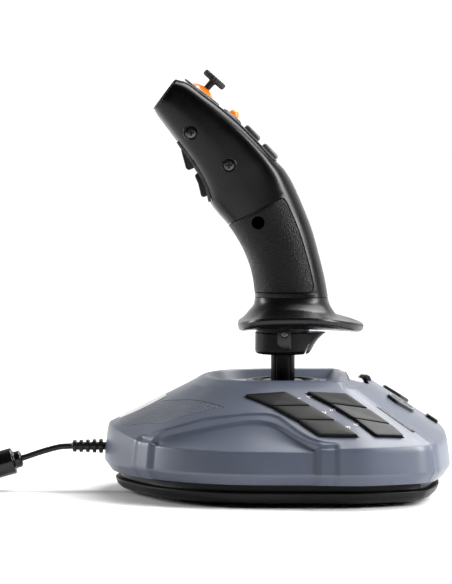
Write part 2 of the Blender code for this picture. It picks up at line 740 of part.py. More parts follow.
def dust_dome(group, look):
    """A spherical cap on the shaft that closes the gate from below at every tilt."""
    outer, inner = DOME_R, DOME_R - 1.4
    start = math.degrees(math.acos(DOME_FLAT / outer))
    angles = [math.radians(start + (DOME_SKIRT - start) * k / 5) for k in range(6)]
    flat_in = DOME_FLAT - 1.4
    start_in = math.acos(flat_in / inner)
    angles_in = [math.radians(DOME_SKIRT) + (start_in - math.radians(DOME_SKIRT)) * k / 5 for k in range(6)]
    profile = ([(SHAFT_R + GAP, DOME_FLAT)] + [(outer * math.sin(a), outer * math.cos(a)) for a in angles]
               + [(inner * math.sin(a), inner * math.cos(a)) for a in angles_in]
               + [(SHAFT_R + GAP, flat_in)])
    publish_local(turned("dust_dome", group, profile, look, 40), (0, 0, PIVOT_Z))


def centring_spring(group, look):
    low, high = 4.8, 19.6
    per_turn = 12
    count = SPRING_TURNS * per_turn
    points = []
    for k in range(count + 1):
        angle = 2 * math.pi * k / per_turn
        points.append((SPRING_R * math.cos(angle), SPRING_R * math.sin(angle),
                       PIVOT_Z + low + (high - low) * k / count))
    tube("centring_spring", group, points, SPRING_WIRE, look, 1)


# ---------------------------------------------------------------- cord

def along_y(tilt=0.0):
    """Turns a piece that was made round Z so that its Z points to +Y, tipped down by tilt degrees."""
    return Matrix.Rotation(math.radians(-90 - tilt), 3, "X")


def strain_relief(group, cutters, cover, look):
    """A ribbed sleeve that grows out of the cover; its neck goes through the wall."""
    start_y = CORD_EXIT[1] - 6
    profile = [(0, RELIEF_END_Y)]
    ribs = list(RELIEF_RIBS)[::-1]
    for k, middle in enumerate(ribs):
        radius = 3.6 + 0.17 * k
        profile += [(radius, middle + 1.15), (radius, middle - 1.15), (2.5, middle - 1.15)]
        if k < len(ribs) - 1:
            profile.append((2.5, ribs[k + 1] + 1.15))
    profile += [(2.5, start_y), (0, start_y)]
    local = [(radius, y - CORD_EXIT[1]) for radius, y in profile]
    publish_local(turned("strain_relief", group, local, look, 20, closed=False), CORD_EXIT, along_y())
    hole = rod("hole_cord", cutters, 2.5 + GAP, (0, CORD_EXIT[1] - 14, CORD_EXIT[2]),
               (0, CORD_EXIT[1] + 4, CORD_EXIT[2]))
    cut(cover, publish(hole))


def cord(group, look, metal):
    tube("cord_lead", group, smooth_route(LEAD_ROUTE, 7), CORD_R, look)
    tube("cord_tail", group, smooth_route(TAIL_ROUTE, 7), CORD_R, look)
    bead = [(radius, -height) for radius, height in BEAD_SECTION]
    publish_local(turned("ferrite_bead", group, bead, look, 28, closed=False), BEAD_START,
                  along_y(BEAD_TILT) @ Matrix.Rotation(math.pi, 3, "X"))
    inner, outer = COIL_R
    top = COIL_HEIGHT
    ring = [(inner, top - 2), (inner + 2, top), (outer - 2, top), (outer, top - 2), (outer, 2),
            (outer - 2, 0.1), (inner + 2, 0.1), (inner, 2)]
    publish_local(turned("cord_coil", group, ring, look, 40), (*COIL_CENTRE, 0))
    usb_plug(group, metal)


def usb_plug(group, look):
    """A plug lying beside the coil: boot, moulded handle and flat metal nose, from +Y to -Y."""
    x, y, z = PLUG_PLACE
    steps = ((2.4, 2.4, 0), (2.9, 2.9, 8), (6.2, 3.9, 10), (8, 4.1, 13), (8, 4.1, 27), (7.4, 3.8, 28.5),
             (6, 2.3, 28.6), (6, 2.3, 40))
    bm = bmesh.new()
    rings = []
    for half_x, half_z, back in steps:
        square = [(half_x, half_z * 0.55), (half_x * 0.8, half_z), (-half_x * 0.8, half_z),
                  (-half_x, half_z * 0.55), (-half_x, -half_z * 0.55), (-half_x * 0.8, -half_z),
                  (half_x * 0.8, -half_z), (half_x, -half_z * 0.55)]
        rings.append([Vector((x + a, y - back, z + b)) for a, b in square])
    grid = loft(bm, rings)
    bm.faces.new(grid[0])
    bm.faces.new(grid[-1])
    publish(mesh_object("usb_plug", bm, group, look), PLUG_PLACE)


# ---------------------------------------------------------------- grip: its surface

def grip_section(s):
    """Front and back points, half width and shape of the grip's section at s, read between the rows."""
    def read(column):
        values = [Vector((*row[column], 0)) if column < 2 else Vector((row[column], 0, 0)) for row in GRIP]
        return catmull(values, s)
    front, back = read(0), read(1)
    return front, back, read(2).x, read(3).x, read(4).x, read(5).x


def section_point(s, angle, inset=0.0, side=1):
    """The point on section s at angle round it, from 0 in the middle of the back to 180 in front."""
    front, back, half, n_back, n_front, share = grip_section(s)
    depth = (front - back).length
    toward = (front - back) / depth
    inner, half = depth - 2 * inset, half - inset
    cosine, sine = math.cos(math.radians(angle)), abs(math.sin(math.radians(angle)))
    if angle <= 90:
        n = n_back
        run = share * inner * (1 - abs(cosine) ** (2 / n))
    else:
        n = n_front
        run = share * inner + (1 - share) * inner * abs(cosine) ** (2 / n)
    place = back + toward * (inset + run)
    return Vector((side * max(half * sine ** (2 / n), 0.15), place.x, place.y))


def section_depth(s, x, depth, side=1):
    """The point on section s that's depth below the middle of the back, x from the middle plane."""
    front, back = grip_section(s)[:2]
    place = back + (front - back).normalized() * depth
    return Vector((side * x, place.x, place.y))


def plate_edge(s):
    return section_point(s, PLATE_ANGLE).x


def shell_rows(step=1.0):
    """(section, in the pad's recess, under the face plate) for each row of a grip shell."""
    low, high = PAD_ROWS
    last = len(GRIP) - 1
    rows = [(0, False, False), (low, False, False), (low + 0.01, True, False)]
    s = math.floor(low) + step
    while s < high - 0.01:
        rows.append((s, True, False))
        s += step
    rows += [(high - 0.01, True, False), (high, False, False)]
    s = high + step
    while s < PLATE_START - 0.01:
        rows.append((s, False, False))
        s += step
    rows += [(PLATE_START - 0.02, False, False), (PLATE_START, False, True)]
    s = PLATE_START + step
    while s < last - 0.01:
        rows.append((s, False, True))
        s += step
    return rows + [(last, False, True)]


OUTER_ANGLES = (52, 52.6, 66, 80, 94, 108, 123, 140, 158, 180)
INNER_ANGLES = (62, 68, 75, 84, 96, 109, 123, 140, 158, 180)


def shell_outer_row(s, in_pad, under_plate, side):
    if under_plate:
        row = [section_depth(s, 0.15, SHELF_DEPTH, side),
               section_depth(s, plate_edge(s), SHELF_DEPTH, side)]
    else:
        row = [section_point(s, 0, 0, side), section_point(s, 22, 0, side)]
    row.append(section_point(s, PLATE_ANGLE + 2, 0, side))
    for angle in OUTER_ANGLES:
        inset = PAD_DEPTH if in_pad and angle > PAD_ANGLE else 0
        row.append(section_point(s, angle, inset, side))
    return row


def shell_inner_row(s, under_plate, side):
    wall = HEAD_WALL if under_plate else FOOT_WALL
    last = len(GRIP) - 1
    s = min(s, last - 0.35)
    if under_plate:
        row = [section_depth(s, 0.15, SHELF_DEPTH + 1.8, side),
               section_depth(s, plate_edge(s) - 2.5, SHELF_DEPTH + 1.8, side)]
    else:
        row = [section_point(s, 0, wall, side), section_point(s, 24, wall, side)]
    row.append(section_point(s, 54 if under_plate else 38, wall, side))
    return row + [section_point(s, angle, wall, side) for angle in INNER_ANGLES]


def grip_shell(name, group, side, look, step=1.0):
    """One moulded half: hollow, open at its foot and along the middle plane, closed at its nose."""
    bm = bmesh.new()
    outer, inner = [], []
    for s, in_pad, under_plate in shell_rows(step):
        outer.append([bm.verts.new(p) for p in shell_outer_row(s, in_pad, under_plate, side)])
        inner.append([bm.verts.new(p) for p in shell_inner_row(s, under_plate, side)])
    count = len(outer[0])
    for skin in (outer, inner):
        for low, high in zip(skin, skin[1:]):
            for k in range(count - 1):
                bm.faces.new((low[k], low[k + 1], high[k + 1], high[k]))
    for r in range(len(outer) - 1):
        for k in (0, count - 1):
            bm.faces.new((outer[r][k], outer[r + 1][k], inner[r + 1][k], inner[r][k]))
    for k in range(count - 1):
        bm.faces.new((outer[0][k], outer[0][k + 1], inner[0][k + 1], inner[0][k]))
    bm.faces.new(outer[-1])
    bm.faces.new(inner[-1])
    bm.faces.new((outer[-1][0], outer[-1][-1], inner[-1][-1], inner[-1][0]))
    return publish(mesh_object(name, bm, group, look))


def grip_pad(name, group, side, look, step=1.0):
    """The soft facing let into the front of a shell."""
    low, high = PAD_ROWS
    rows = [low + 0.05]
    s = math.floor(low) + step
    while s < high - 0.01:
        rows.append(s)
        s += step
    rows.append(high - 0.06)
    angles = [PAD_ANGLE + 2.2, 66, 80, 94, 108, 123, 140, 158, 178.5]
    bm = bmesh.new()
    skins = []
    for inset in (0.0, PAD_THICK):
        grid = [[section_point(s, a, inset, side) for a in angles] for s in rows]
        skins.append([[bm.verts.new(p) for p in line] for line in grid])
    outer, inner = skins
    count = len(angles)
    for skin in skins:
        for first, second in zip(skin, skin[1:]):
            for k in range(count - 1):
                bm.faces.new((first[k], first[k + 1], second[k + 1], second[k]))
    for r in range(len(rows) - 1):
        for k in (0, count - 1):
            bm.faces.new((outer[r][k], outer[r + 1][k], inner[r + 1][k], inner[r][k]))
    for r in (0, -1):
        for k in range(count - 1):
            bm.faces.new((outer[r][k], outer[r][k + 1], inner[r][k + 1], inner[r][k]))
    return publish(mesh_object(name, bm, group, look))


def face_at(y):
    """The point at y on the face plate's outer surface, with its outward and its upward direction."""
    low, high = PLATE_START, len(GRIP) - 1.0
    for _ in range(40):
        middle = (low + high) / 2
        if grip_section(middle)[1].x < y:
            low = middle
        else:
            high = middle
    here, ahead = grip_section(low - 0.1)[1], grip_section(low + 0.1)[1]
    along = (ahead - here).normalized()
    place = grip_section(low)[1]
    return (Vector((0, place.x, place.y)), Vector((0, -along.y, along.x)), Vector((0, along.x, along.y)))


def plate_rows():
    """(outer point, inner point, half width) down the face plate, then over and down the nose."""
    rows = []
    last = len(GRIP) - 1
    for s in (PLATE_START + 0.06, 6.5, 7, 8, 9, 10, 11, 11.6, 12.2, 12.65):
        proud = 0.5 * max(0.0, 1 - (s - PLATE_START) * 1.4)
        half = plate_edge(s) - GAP
        rows.append((section_depth(s, 0, -proud), section_depth(s, 0, SHELF_DEPTH - GAP), half))
    front, back, half, n_back, n_front, share = grip_section(last)
    depth = (front - back).length
    toward = (front - back) / depth
    ahead = Vector((-toward.y, toward.x, 0))
    corner = SHELF_DEPTH - GAP
    for past, reach, sunk, width in ((GAP, 0.1, corner, plate_edge(last) - GAP),
                                     (1.0, 0.45, corner + 0.1, 17.6)):
        outer = back + toward * reach + ahead * past
        inner = back + toward * sunk + ahead * GAP
        rows.append((Vector((0, outer.x, outer.y)), Vector((0, inner.x, inner.y)), width))
    for t in (0.1, 0.25, 0.45, 0.62, 0.76, 0.86, 0.93, 0.975):
        n = n_back if t < share else n_front
        near = 1 - t / share if t < share else (t - share) / (1 - share)
        width = half * math.sin(math.acos(near ** (n / 2))) ** (2 / n)
        outer = back + toward * depth * t + ahead * NOSE_THICK
        inside = back + toward * max(depth * t, corner + 0.2) + ahead * GAP
        rows.append((Vector((0, outer.x, outer.y)), Vector((0, inside.x, inside.y)), width - 0.2))
    return rows


def face_plate_blank(group, look):
    """The plate that carries the thumb's controls and wraps over the nose, before its openings."""
    bm = bmesh.new()
    rings = []
    for outer, inner, half in plate_rows():
        down = inner - outer
        bevel = down.normalized() * min(0.8, down.length * 0.5)
        points = [outer, outer, outer + bevel, inner, inner]
        reach = [0, half - 0.9, half, half, 0]
        right = [p + Vector((x, 0, 0)) for p, x in zip(points, reach)]
        rings.append(mirrored_ring(right))
    grid = loft(bm, rings)
    bm.faces.new(grid[0])
    bm.faces.new(grid[-1])
    return mesh_object("face_plate", bm, group, look)


# ---------------------------------------------------------------- grip: controls

def tilt_matrix(direction):
    """Turns a piece made round Z so that its Z follows the direction and its X stays level."""
    up = direction.normalized()
    side = Vector((1, 0, 0))
    ahead = up.cross(side)
    return Matrix((side, ahead, up)).transposed()


def stick_axis():
    lean = math.radians(STICK_LEAN)
    return Vector((0, -math.sin(lean), math.cos(lean)))


def stick_pivot():
    seat, normal, _ = face_at(STICK_SEAT_Y)
    return seat - normal * STICK_PIVOT_DEPTH


def ministick(group, cutters, plate, shells, looks):
    """A thumb joystick: an orange dome under the plate's round window, a black cap and a hidden yoke."""
    seat, normal, _ = face_at(STICK_SEAT_Y)
    pivot, axis = stick_pivot(), stick_axis()
    turn = tilt_matrix(axis)
    radius, inner = STICK_DOME_R, STICK_DOME_R - 1.4
    skirt = math.radians(STICK_SKIRT)
    top = math.asin(2.0 / radius)
    angles = [top + (skirt - top) * k / 6 for k in range(7)]
    profile = [(0, 17.9), (2, 17.9)] + [(radius * math.sin(a), radius * math.cos(a)) for a in angles]
    profile += [(inner * math.sin(a), inner * math.cos(a)) for a in reversed(angles[1:])]
    profile += [(2, inner * 0.98), (2, -3), (0, -3)]
    publish_local(turned("ministick_dome", group, profile, looks["orange"], 28, closed=False), pivot, turn)
    cap = turned("ministick_cap", group, CAP_PROFILE, looks["rubber"], 28, closed=False)
    publish_local(cap, pivot, turn)
    ring = [(4.2, 1.5), (7.4, 1.5), (7.4, -1.5), (4.2, -1.5)]
    publish_local(turned("ministick_yoke", group, ring, looks["metal"], 20), pivot, turn)
    window = turned("window_ministick", cutters,
                    [(0, 6), (9.2, 6), (9.2, 0), (11.5, -3.4), (11.5, -4), (0, -4)], None, 32, closed=False)
    cut(plate, publish_local(window, seat, tilt_matrix(normal)))
    bay = rod("bay_ministick", cutters, 12.4, seat - normal * 9, seat + normal * 3, sides=28)
    publish(bay)
    for shell in shells:
        cut(shell, bay)


def orange_button(group, cutters, plate, look):
    seat, normal, _ = face_at(ORANGE_SEAT_Y)
    profile = [(0, ORANGE_PROUD), (1.4, ORANGE_PROUD - 0.35), (2.4, ORANGE_PROUD - 1.1),
               (ORANGE_R, ORANGE_PROUD - 2.6), (ORANGE_R, -THUMB_SUNK), (0, -THUMB_SUNK)]
    publish_local(turned("orange_button", group, profile, look, 20, closed=False), seat, tilt_matrix(normal))
    hole = rod("hole_orange", cutters, ORANGE_R + GAP, seat - normal * 6, seat + normal * 3, sides=20)
    cut(plate, publish(hole))


def thumb_buttons(group, cutters, plate, look):
    """Two rows of two keys below the orange button."""
    for row, y in THUMB_SEATS.items():
        seat, normal, up = face_at(y)
        half = up * THUMB_LENGTH / 2
        for side, word in ((-1, "left"), (1, "right")):
            near, far = Vector((side * THUMB_X[0], 0, 0)), Vector((side * THUMB_X[1], 0, 0))
            outline = [seat + near + half, seat + far + half * 0.92, seat + far - half * 0.92,
                       seat + near - half]
            levels = ((outline, -THUMB_SUNK), (outline, THUMB_PROUD - 1.0),
                      (inset_outline(outline, 0.8), THUMB_PROUD))
            bm = bmesh.new()
            grid = loft(bm, [[p + normal * height for p in points] for points, height in levels])
            bm.faces.new(grid[0])
            bm.faces.new(grid[-1])
            name = f"thumb_button_{row}_{word}"
            publish(mesh_object(name, bm, group, look), seat + (near + far) / 2)
            wide = inset_outline(outline, -GAP)
            hole = prism("hole_" + name, cutters, [p - normal * 7 for p in wide], normal * 12)
            cut(plate, publish(hole))


def path_band(path, outward_by, inward_by):
    """The band on both sides of a y-z path that runs down the grip's front: outer points, then inner."""
    points = [Vector((0, y, z)) for y, z in path]
    outer, inner = [], []
    for k, point in enumerate(points):
        along = (points[min(k + 1, len(points) - 1)] - points[max(k - 1, 0)]).normalized()
        normal = Vector((0, -along.z, along.y))
        outer.append(point + normal * outward_by)
        inner.append(point - normal * inward_by)
    return outer + inner[::-1]


def band_prism(name, group, path, outward_by, inward_by, half, look=None):
    band = [p - Vector((half, 0, 0)) for p in path_band(path, outward_by, inward_by)]
    count = len(path)
    bm = bmesh.new()
    near = [bm.verts.new(p) for p in band]
    far = [bm.verts.new(p + Vector((2 * half, 0, 0))) for p in band]
    for k in range(2 * count):
        n = (k + 1) % (2 * count)
        bm.faces.new((near[k], near[n], far[n], far[k]))
    for k in range(count - 1):
        for side in (near, far):
            bm.faces.new((side[k], side[k + 1], side[2 * count - 2 - k], side[2 * count - 1 - k]))
    return publish(mesh_object(name, bm, group, look))


def between(path, start, end):
    """The part of a path between two of its parameters, with its own points kept."""
    points = [Vector((*p, 0)) for p in path]

    def at(t):
        k = min(int(t), len(points) - 2)
        place = points[k].lerp(points[k + 1], t - k)
        return (place.x, place.y)
    inside = [path[k] for k in range(len(path)) if start < k < end]
    return [at(start)] + inside + [at(end)]


def triggers(group, cutters, shells, looks):
    """A bezel let into the grip's front, with a trigger and a finger button that hinge in it."""
    bezel = band_prism("trigger_plate", group, TRIGGER_PATH, 0.5, 1.2, TRIGGER_PLATE_HALF, looks["key"])
    for name, start, end in (("upper", 0.42, 3.02), ("lower", 3.36, 6.72)):
        window = band_prism("window_" + name, cutters, between(TRIGGER_PATH, start, end), 3, 3,
                            TRIGGER_HALF + 0.5)
        cut(bezel, window)
    first, last = Vector((*TRIGGER_PATH[0], 0)), Vector((*TRIGGER_PATH[-1], 0))
    second, before = Vector((*TRIGGER_PATH[1], 0)), Vector((*TRIGGER_PATH[-2], 0))
    start = first + (first - second).normalized() * 0.4
    end = last + (last - before).normalized() * 0.4
    longer = [(start.x, start.y)] + list(TRIGGER_PATH[1:-1]) + [(end.x, end.y)]
    seat = band_prism("seat_triggers", cutters, longer, 4, 1.5, TRIGGER_PLATE_HALF + GAP)
    through = band_prism("opening_triggers", cutters, between(TRIGGER_PATH, 0.3, 6.75), 3, 8,
                         TRIGGER_HALF + 1.3)
    for shell in shells:
        cut(shell, seat)
        cut(shell, through)
    for name, outline, hinge in (("trigger_upper", UPPER_TRIGGER, UPPER_HINGE),
                                 ("trigger_lower", LOWER_TRIGGER, LOWER_HINGE)):
        flat = [(-TRIGGER_HALF, y, z) for y, z in outline]
        publish(prism(name, group, flat, (2 * TRIGGER_HALF, 0, 0), looks["key"]), (0, *hinge))


def shell_side(shell, y, z):
    """How far to the left of the middle plane the left shell's outside is at (y, z)."""
    bm = bmesh.new()
    bm.from_mesh(shell.data)
    tree = BVHTree.FromBMesh(bm)
    bm.free()
    place = tree.ray_cast(frame_point((-60, y, z)), Vector((1, 0, 0)))[0]
    return place.x / MM


def grip_screws(group, cutters, left_shell, pad, look):
    for name, (y, z) in SCREWS.items():
        surface = shell_side(left_shell, y, z)
        floor = surface + 1.75
        cut(left_shell, publish(rod("well_" + name, cutters, SCREW_WELL_R, (-40, y, z), (floor, y, z))))
        cut(left_shell, publish(rod("bore_" + name, cutters, 1.8, (-30, y, z), (floor + 9, y, z), sides=12)))
        profile = [(0, 0), (3.0, 0), (3.4, -0.4), (3.4, -1.3), (1.5, -1.3), (1.5, -30), (0, -30)]
        turn = Matrix.Rotation(math.radians(-90), 3, "Y")
        place = (floor - 0.2 - 1.3, y, z)
        publish_local(turned(name, group, profile, look, 20, closed=False), place, turn)
    y, z = PAD_HOLE
    hole = publish(rod("hole_pad", cutters, 3.9, (-40, y, z), (-5, y, z)))
    cut(left_shell, hole)
    cut(pad, hole)


# ---------------------------------------------------------------- hand rest and hub

# how far out from the neck to the rim | how far up, at the sides and back | and in front
REST_BLEND = ((0.0, 1.0, 1.0), (0.03, 0.8, 0.84), (0.12, 0.56, 0.66), (0.28, 0.29, 0.53),
              (0.6, 0.08, 0.27), (0.86, 0.0, 0.06), (0.97, -0.02, 0.0))


def rest_point(t):
    """The rim's plan point and height at t, from 0 in front to 1 at the back of the right half."""
    u = t * (len(REST_PLAN) - 1)
    plan = catmull([Vector((*p, 0)) for p in REST_PLAN], u, mirror_ends=True)
    height = catmull([Vector((0, 0, z)) for z in REST_RIM_Z], u).z
    return plan, height


def rest_column(t):
    """Points down the hand rest at t: neck, dished top, lip, underside and foot."""
    plan, rim = rest_point(t)
    neck = section_point(0, 180 * (1 - t))
    neck = Vector((neck.x if 0 < t < 1 else 0, neck.y, 0))
    plan.x = plan.x if 0 < t < 1 else 0
    frontal = max(0.0, 1 - t * 2.6)
    points = []
    for share, plain, steep in REST_BLEND:
        rise = plain * (1 - frontal) + steep * frontal
        place = neck.lerp(plan, share)
        points.append(Vector((place.x, place.y, rim + (NECK_TOP_Z - rim) * rise)))
    angle = math.pi * t
    foot = Vector((math.sin(angle) * 16.2, math.cos(angle) * 16.2, 0))
    points.append(Vector((plan.x, plan.y, rim - 1.3)))
    points.append(Vector((plan.x * 0.985, plan.y * 0.985, rim - 4.2)))
    points.append(Vector((plan.x * 0.93, plan.y * 0.93, rim - 5.2)))
    low = foot.lerp(plan, 0.5)
    points.append(Vector((low.x, low.y, rim * 0.4 + 96.6 * 0.6 - 1.8)))
    points.append(Vector((foot.x, foot.y, HUB_Z[1] + GAP)))
    return points


def hand_rest(group, look, columns=14):
    halves = [rest_column(k / columns) for k in range(columns + 1)]
    rings = [mirrored_ring([half[row] for half in halves]) for row in range(len(halves[0]))]
    bm = bmesh.new()
    grid = loft(bm, rings)
    bm.faces.new(grid[0])
    bm.faces.new(grid[-1])
    return publish(mesh_object("hand_rest", bm, group, look))


def hub_ring(z, flare, radius=HUB_R, sides=28):
    ring = []
    for k in range(sides):
        angle = 2 * math.pi * k / sides
        x, y = math.sin(angle) * radius, math.cos(angle) * radius
        if y < 0:
            y -= flare * (y / radius) ** 2
        ring.append(Vector((x, y, z)))
    return ring


def lower_hub(group, cutters, look, metal):
    """The collar that turns on the shaft: a drum, drawn out towards the user under the hand rest."""
    bm = bmesh.new()
    rings = [hub_ring(z, flare) for z, flare in ((HUB_Z[0], 0.0),) + HUB_FLARE]
    rings += [hub_ring(HUB_FLARE[-1][0] + 0.4, 0.0, HUB_NECK_R), hub_ring(HUB_Z[1], 0.0, HUB_NECK_R)]
    grid = loft(bm, rings)
    bm.faces.new(grid[0])
    bm.faces.new(grid[-1])
    hub = publish(mesh_object("lower_hub", bm, group, look))
    shield = [(-HUB_R - 0.3, y, z) for y, z in HUB_SHIELD]
    cut(hub, publish(prism("shield_hub", cutters, shield, (3, 0, 0))), "UNION")
    top = SHAFT_Z[1] + 2.4
    cut(hub, publish(rod("bore_hub", cutters, SHAFT_R + 0.4, (0, 0, HUB_Z[0] - 5), (0, 0, top))))
    y, z = HUB_SCREW
    floor = -HUB_R + 1.3
    cut(hub, publish(rod("well_hub_screw", cutters, 2.4, (-25, y, z), (floor, y, z), sides=16)))
    profile = [(0, 0), (1.7, 0), (2.0, -0.3), (2.0, -1.1), (0, -1.1)]
    turn = Matrix.Rotation(math.radians(-90), 3, "Y")
    place = (floor - 1.1 - 0.2, y, z)
    publish_local(turned("hub_screw", group, profile, metal, 16, closed=False), place, turn)


# ---------------------------------------------------------------- the whole joystick

def make_looks():
    return {
        "paint": material("blue_grey_paint", (0.16, 0.175, 0.215), 0.38, 0.35),
        "black": material("black_plastic", (0.018, 0.018, 0.02), 0.5),
        "gloss": material("gloss_black", (0.012, 0.012, 0.013), 0.22),
        "rubber": material("black_rubber", (0.02, 0.02, 0.02), 0.8),
        "key": material("key_grey", (0.09, 0.09, 0.095), 0.4),
        "pale": material("pale_plate", (0.62, 0.63, 0.6), 0.5),
        "lamp": material("lamp_window", (0.28, 0.28, 0.3), 0.25),
        "metal": material("steel", (0.55, 0.55, 0.56), 0.35, 1.0),
        "orange": material("orange_plastic", (0.85, 0.18, 0.02), 0.35),
        "board": material("circuit_board", (0.02, 0.12, 0.05), 0.5),
        "cable": material("cable", (0.02, 0.02, 0.02), 0.6),
    }


def build_base(group, cutters, looks):
    cover = cover_blank(group)
    cover.data.materials.append(looks["paint"])
    surface = Surface(cover)
    publish(cover)
    throttle(surface, group, cutters, cover, looks)
    normals = base_buttons(surface, group, cutters, cover, looks)
    light_strips(surface, group, cutters, cover, looks["lamp"])
    strain_relief(group, cutters, cover, looks["rubber"])
    cover.data.materials[0] = looks["paint"]
    base_tray(group, looks["black"])
    gate_ring(group, looks["gloss"])
    gimbal_bracket(group, cutters, looks["metal"])
    floor = TRAY_INSIDE[1][1] + GAP
    publish(box("main_board", group, (-30, 42, floor), (30, 78, floor + 1.6), looks["board"]))
    cord(group, looks["cable"], looks["metal"])
    return normals


def build_stick(group, cutters, looks):
    gimbal_ring(group, cutters, looks["metal"])
    stick_shaft(group, cutters, looks["gloss"])
    dust_dome(group, looks["gloss"])
    centring_spring(group, looks["metal"])


def build_grip(group, cutters, looks):
    left = grip_shell("grip_shell_left", group, -1, looks["gloss"])
    right = grip_shell("grip_shell_right", group, 1, looks["gloss"])
    pad = grip_pad("grip_pad_left", group, -1, looks["rubber"])
    grip_pad("grip_pad_right", group, 1, looks["rubber"])
    plate = publish(face_plate_blank(group, looks["key"]))
    grip_screws(group, cutters, left, pad, looks["metal"])
    ministick(group, cutters, plate, (left, right), looks)
    orange_button(group, cutters, plate, looks["orange"])
    thumb_buttons(group, cutters, plate, looks["key"])
    triggers(group, cutters, (left, right), looks)
    hand_rest(group, looks["rubber"])
    lower_hub(group, cutters, looks["black"], looks["metal"])


def build():
    clear_scene()
    group, cutters = collection("flight_joystick"), collection("cutters")
    looks = make_looks()
    normals = build_base(group, cutters, looks)
    build_stick(group, cutters, looks)
    build_grip(group, cutters, looks)
    return normals


if __name__ == "__main__":
    build()
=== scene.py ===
"""The look of the flight joystick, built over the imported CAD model."""

import math

import bmesh
import bpy
from mathutils import Matrix, Vector
from mathutils.bvhtree import BVHTree


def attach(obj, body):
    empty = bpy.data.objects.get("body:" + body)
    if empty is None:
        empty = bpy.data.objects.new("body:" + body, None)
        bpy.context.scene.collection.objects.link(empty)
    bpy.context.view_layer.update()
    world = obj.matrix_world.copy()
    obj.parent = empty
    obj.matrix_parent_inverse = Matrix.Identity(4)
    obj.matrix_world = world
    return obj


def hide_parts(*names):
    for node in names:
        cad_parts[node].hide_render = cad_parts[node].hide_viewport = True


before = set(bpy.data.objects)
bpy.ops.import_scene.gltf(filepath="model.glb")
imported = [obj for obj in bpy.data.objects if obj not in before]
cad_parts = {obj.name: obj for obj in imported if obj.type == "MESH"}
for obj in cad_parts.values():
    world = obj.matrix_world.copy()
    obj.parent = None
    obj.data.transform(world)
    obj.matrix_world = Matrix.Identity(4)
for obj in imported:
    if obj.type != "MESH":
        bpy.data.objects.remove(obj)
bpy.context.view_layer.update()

# ---------------------------------------------------------------- dimensions, as in the CAD source
# Sizes are in millimetres, from the stick's axis; piece() turns them into metres in the row frame.

MM = 0.001
SHAFT_Y = -3.9  # the stick's axis, seen from the middle of the footprint
GAP = 0.3  # between pieces that touch
PIVOT_Z = 44.0  # where the gimbal's two axes cross
# One row for each station round the right half, from the front (cable) to the user's side:
# widest outline x, y | shoulder height | foot of the rim x, y, z | edge of the bowl x, y
STATIONS = (
    ((0, 107.4), 41.2, (0, 53.5, 66.4), (0, 45.5)),
    ((15, 106), 40.3, (12.5, 52.8, 66.4), (10, 44.7)),
    ((29.5, 101.5), 39.0, (24.5, 50, 66.3), (20, 42.2)),
    ((54, 89.5), 35.9, (36, 45, 66.2), (29.5, 37.5)),
    ((69, 79), 36.2, (43.5, 38.5, 66.1), (36, 31.5)),
    ((82, 64), 35.8, (48.5, 30.5, 66), (40.5, 24)),
    ((91.5, 47), 35.6, (51.8, 21.5, 65.9), (43, 15)),
    ((97.5, 29), 35.5, (53.6, 11.5, 65.8), (44, 7)),
    ((99.7, 8), 35.6, (54, 1, 65.8), (44, -2)),
    ((100, -16), 35.6, (54, -12, 65.8), (44, -12)),
    ((100, -31), 35, (54, -22, 65.8), (44, -22)),
    ((99, -50), 35, (54, -34, 65.8), (44, -31)),
    ((89, -76), 35.1, (53, -38.5, 65.8), (42, -32.2)),
    ((81, -86.5), 35.6, (50, -41.5, 65.8), (36, -32.7)),
    ((70, -91.5), 36.2, (35, -49, 66), (24, -33.5)),
    ((41, -98), 37, (18, -52.8, 66.1), (12, -34.3)),
    ((0, -99.6), 37.3, (0, -53.4, 66.1), (0, -35)),
)
SHARP_STATIONS = ((13,), (12, 13), (11,))  # creases of the outline, the rim's foot and the bowl's edge
PANEL = (3, 4, 9, 10)  # the side panel is set back between these stations
PANEL_DEPTH = 3.3
# how far down the slope the panel's arch starts and ends, at stations 3 to 10
ARCH_TOP = (0.90, 0.74, 0.54, 0.46, 0.415, 0.46, 0.83, 0.90)
ARCH_FOOT = (0.93, 0.92, 0.77, 0.62, 0.54, 0.60, 0.92, 0.93)
ARCH_OFF_PANEL = (0.60, 0.74)
WIDEST_Z = 19.5
LIP_Z = 13.6
LIP_IN = 4.2
SKIRT_IN = 2.2
CREST_Z = 70.0
RIM_WIDTH = 3.0
BOWL_FLOOR_Z = 62.7
BOWL_WALL_IN = 5.0
GATE_HOLE_R = 20.6
WALL = 2.6
# Buttons on the base: outlines by their x and y on the right half, as seen from above.
FRONT_STRIP = (((57.5, 23.5), (57.5, -0.5)), ((68, 7.2), (68, -15.3)),
               ((78.5, -7.3), (78.5, -29.3)), ((89.2, -19.5), (89.2, -42)))
REAR_STRIP = (((57.5, -12.5), (58.7, -36)), ((66.2, -26), (67.2, -48.4)),
              ((76.8, -39.6), (75.4, -61)), ((87, -52), (82, -68.3)))
HEX_BUTTON = ((25.5, -62), (33.5, -61), (37.5, -66), (35.5, -75.5), (28, -77), (23.5, -72))
CENTRE_BUTTON = ((-6, -86), (6, -86), (6, -92.5), (-6, -92.5))
BUTTON_PROUD = 1.9
BUTTON_SUNK = 1.8
BUTTON_SEAM = 0.5
THROTTLE_Y = -49.3
THROTTLE_TRAVEL = 22.0
KNOB_HALF = 4.2
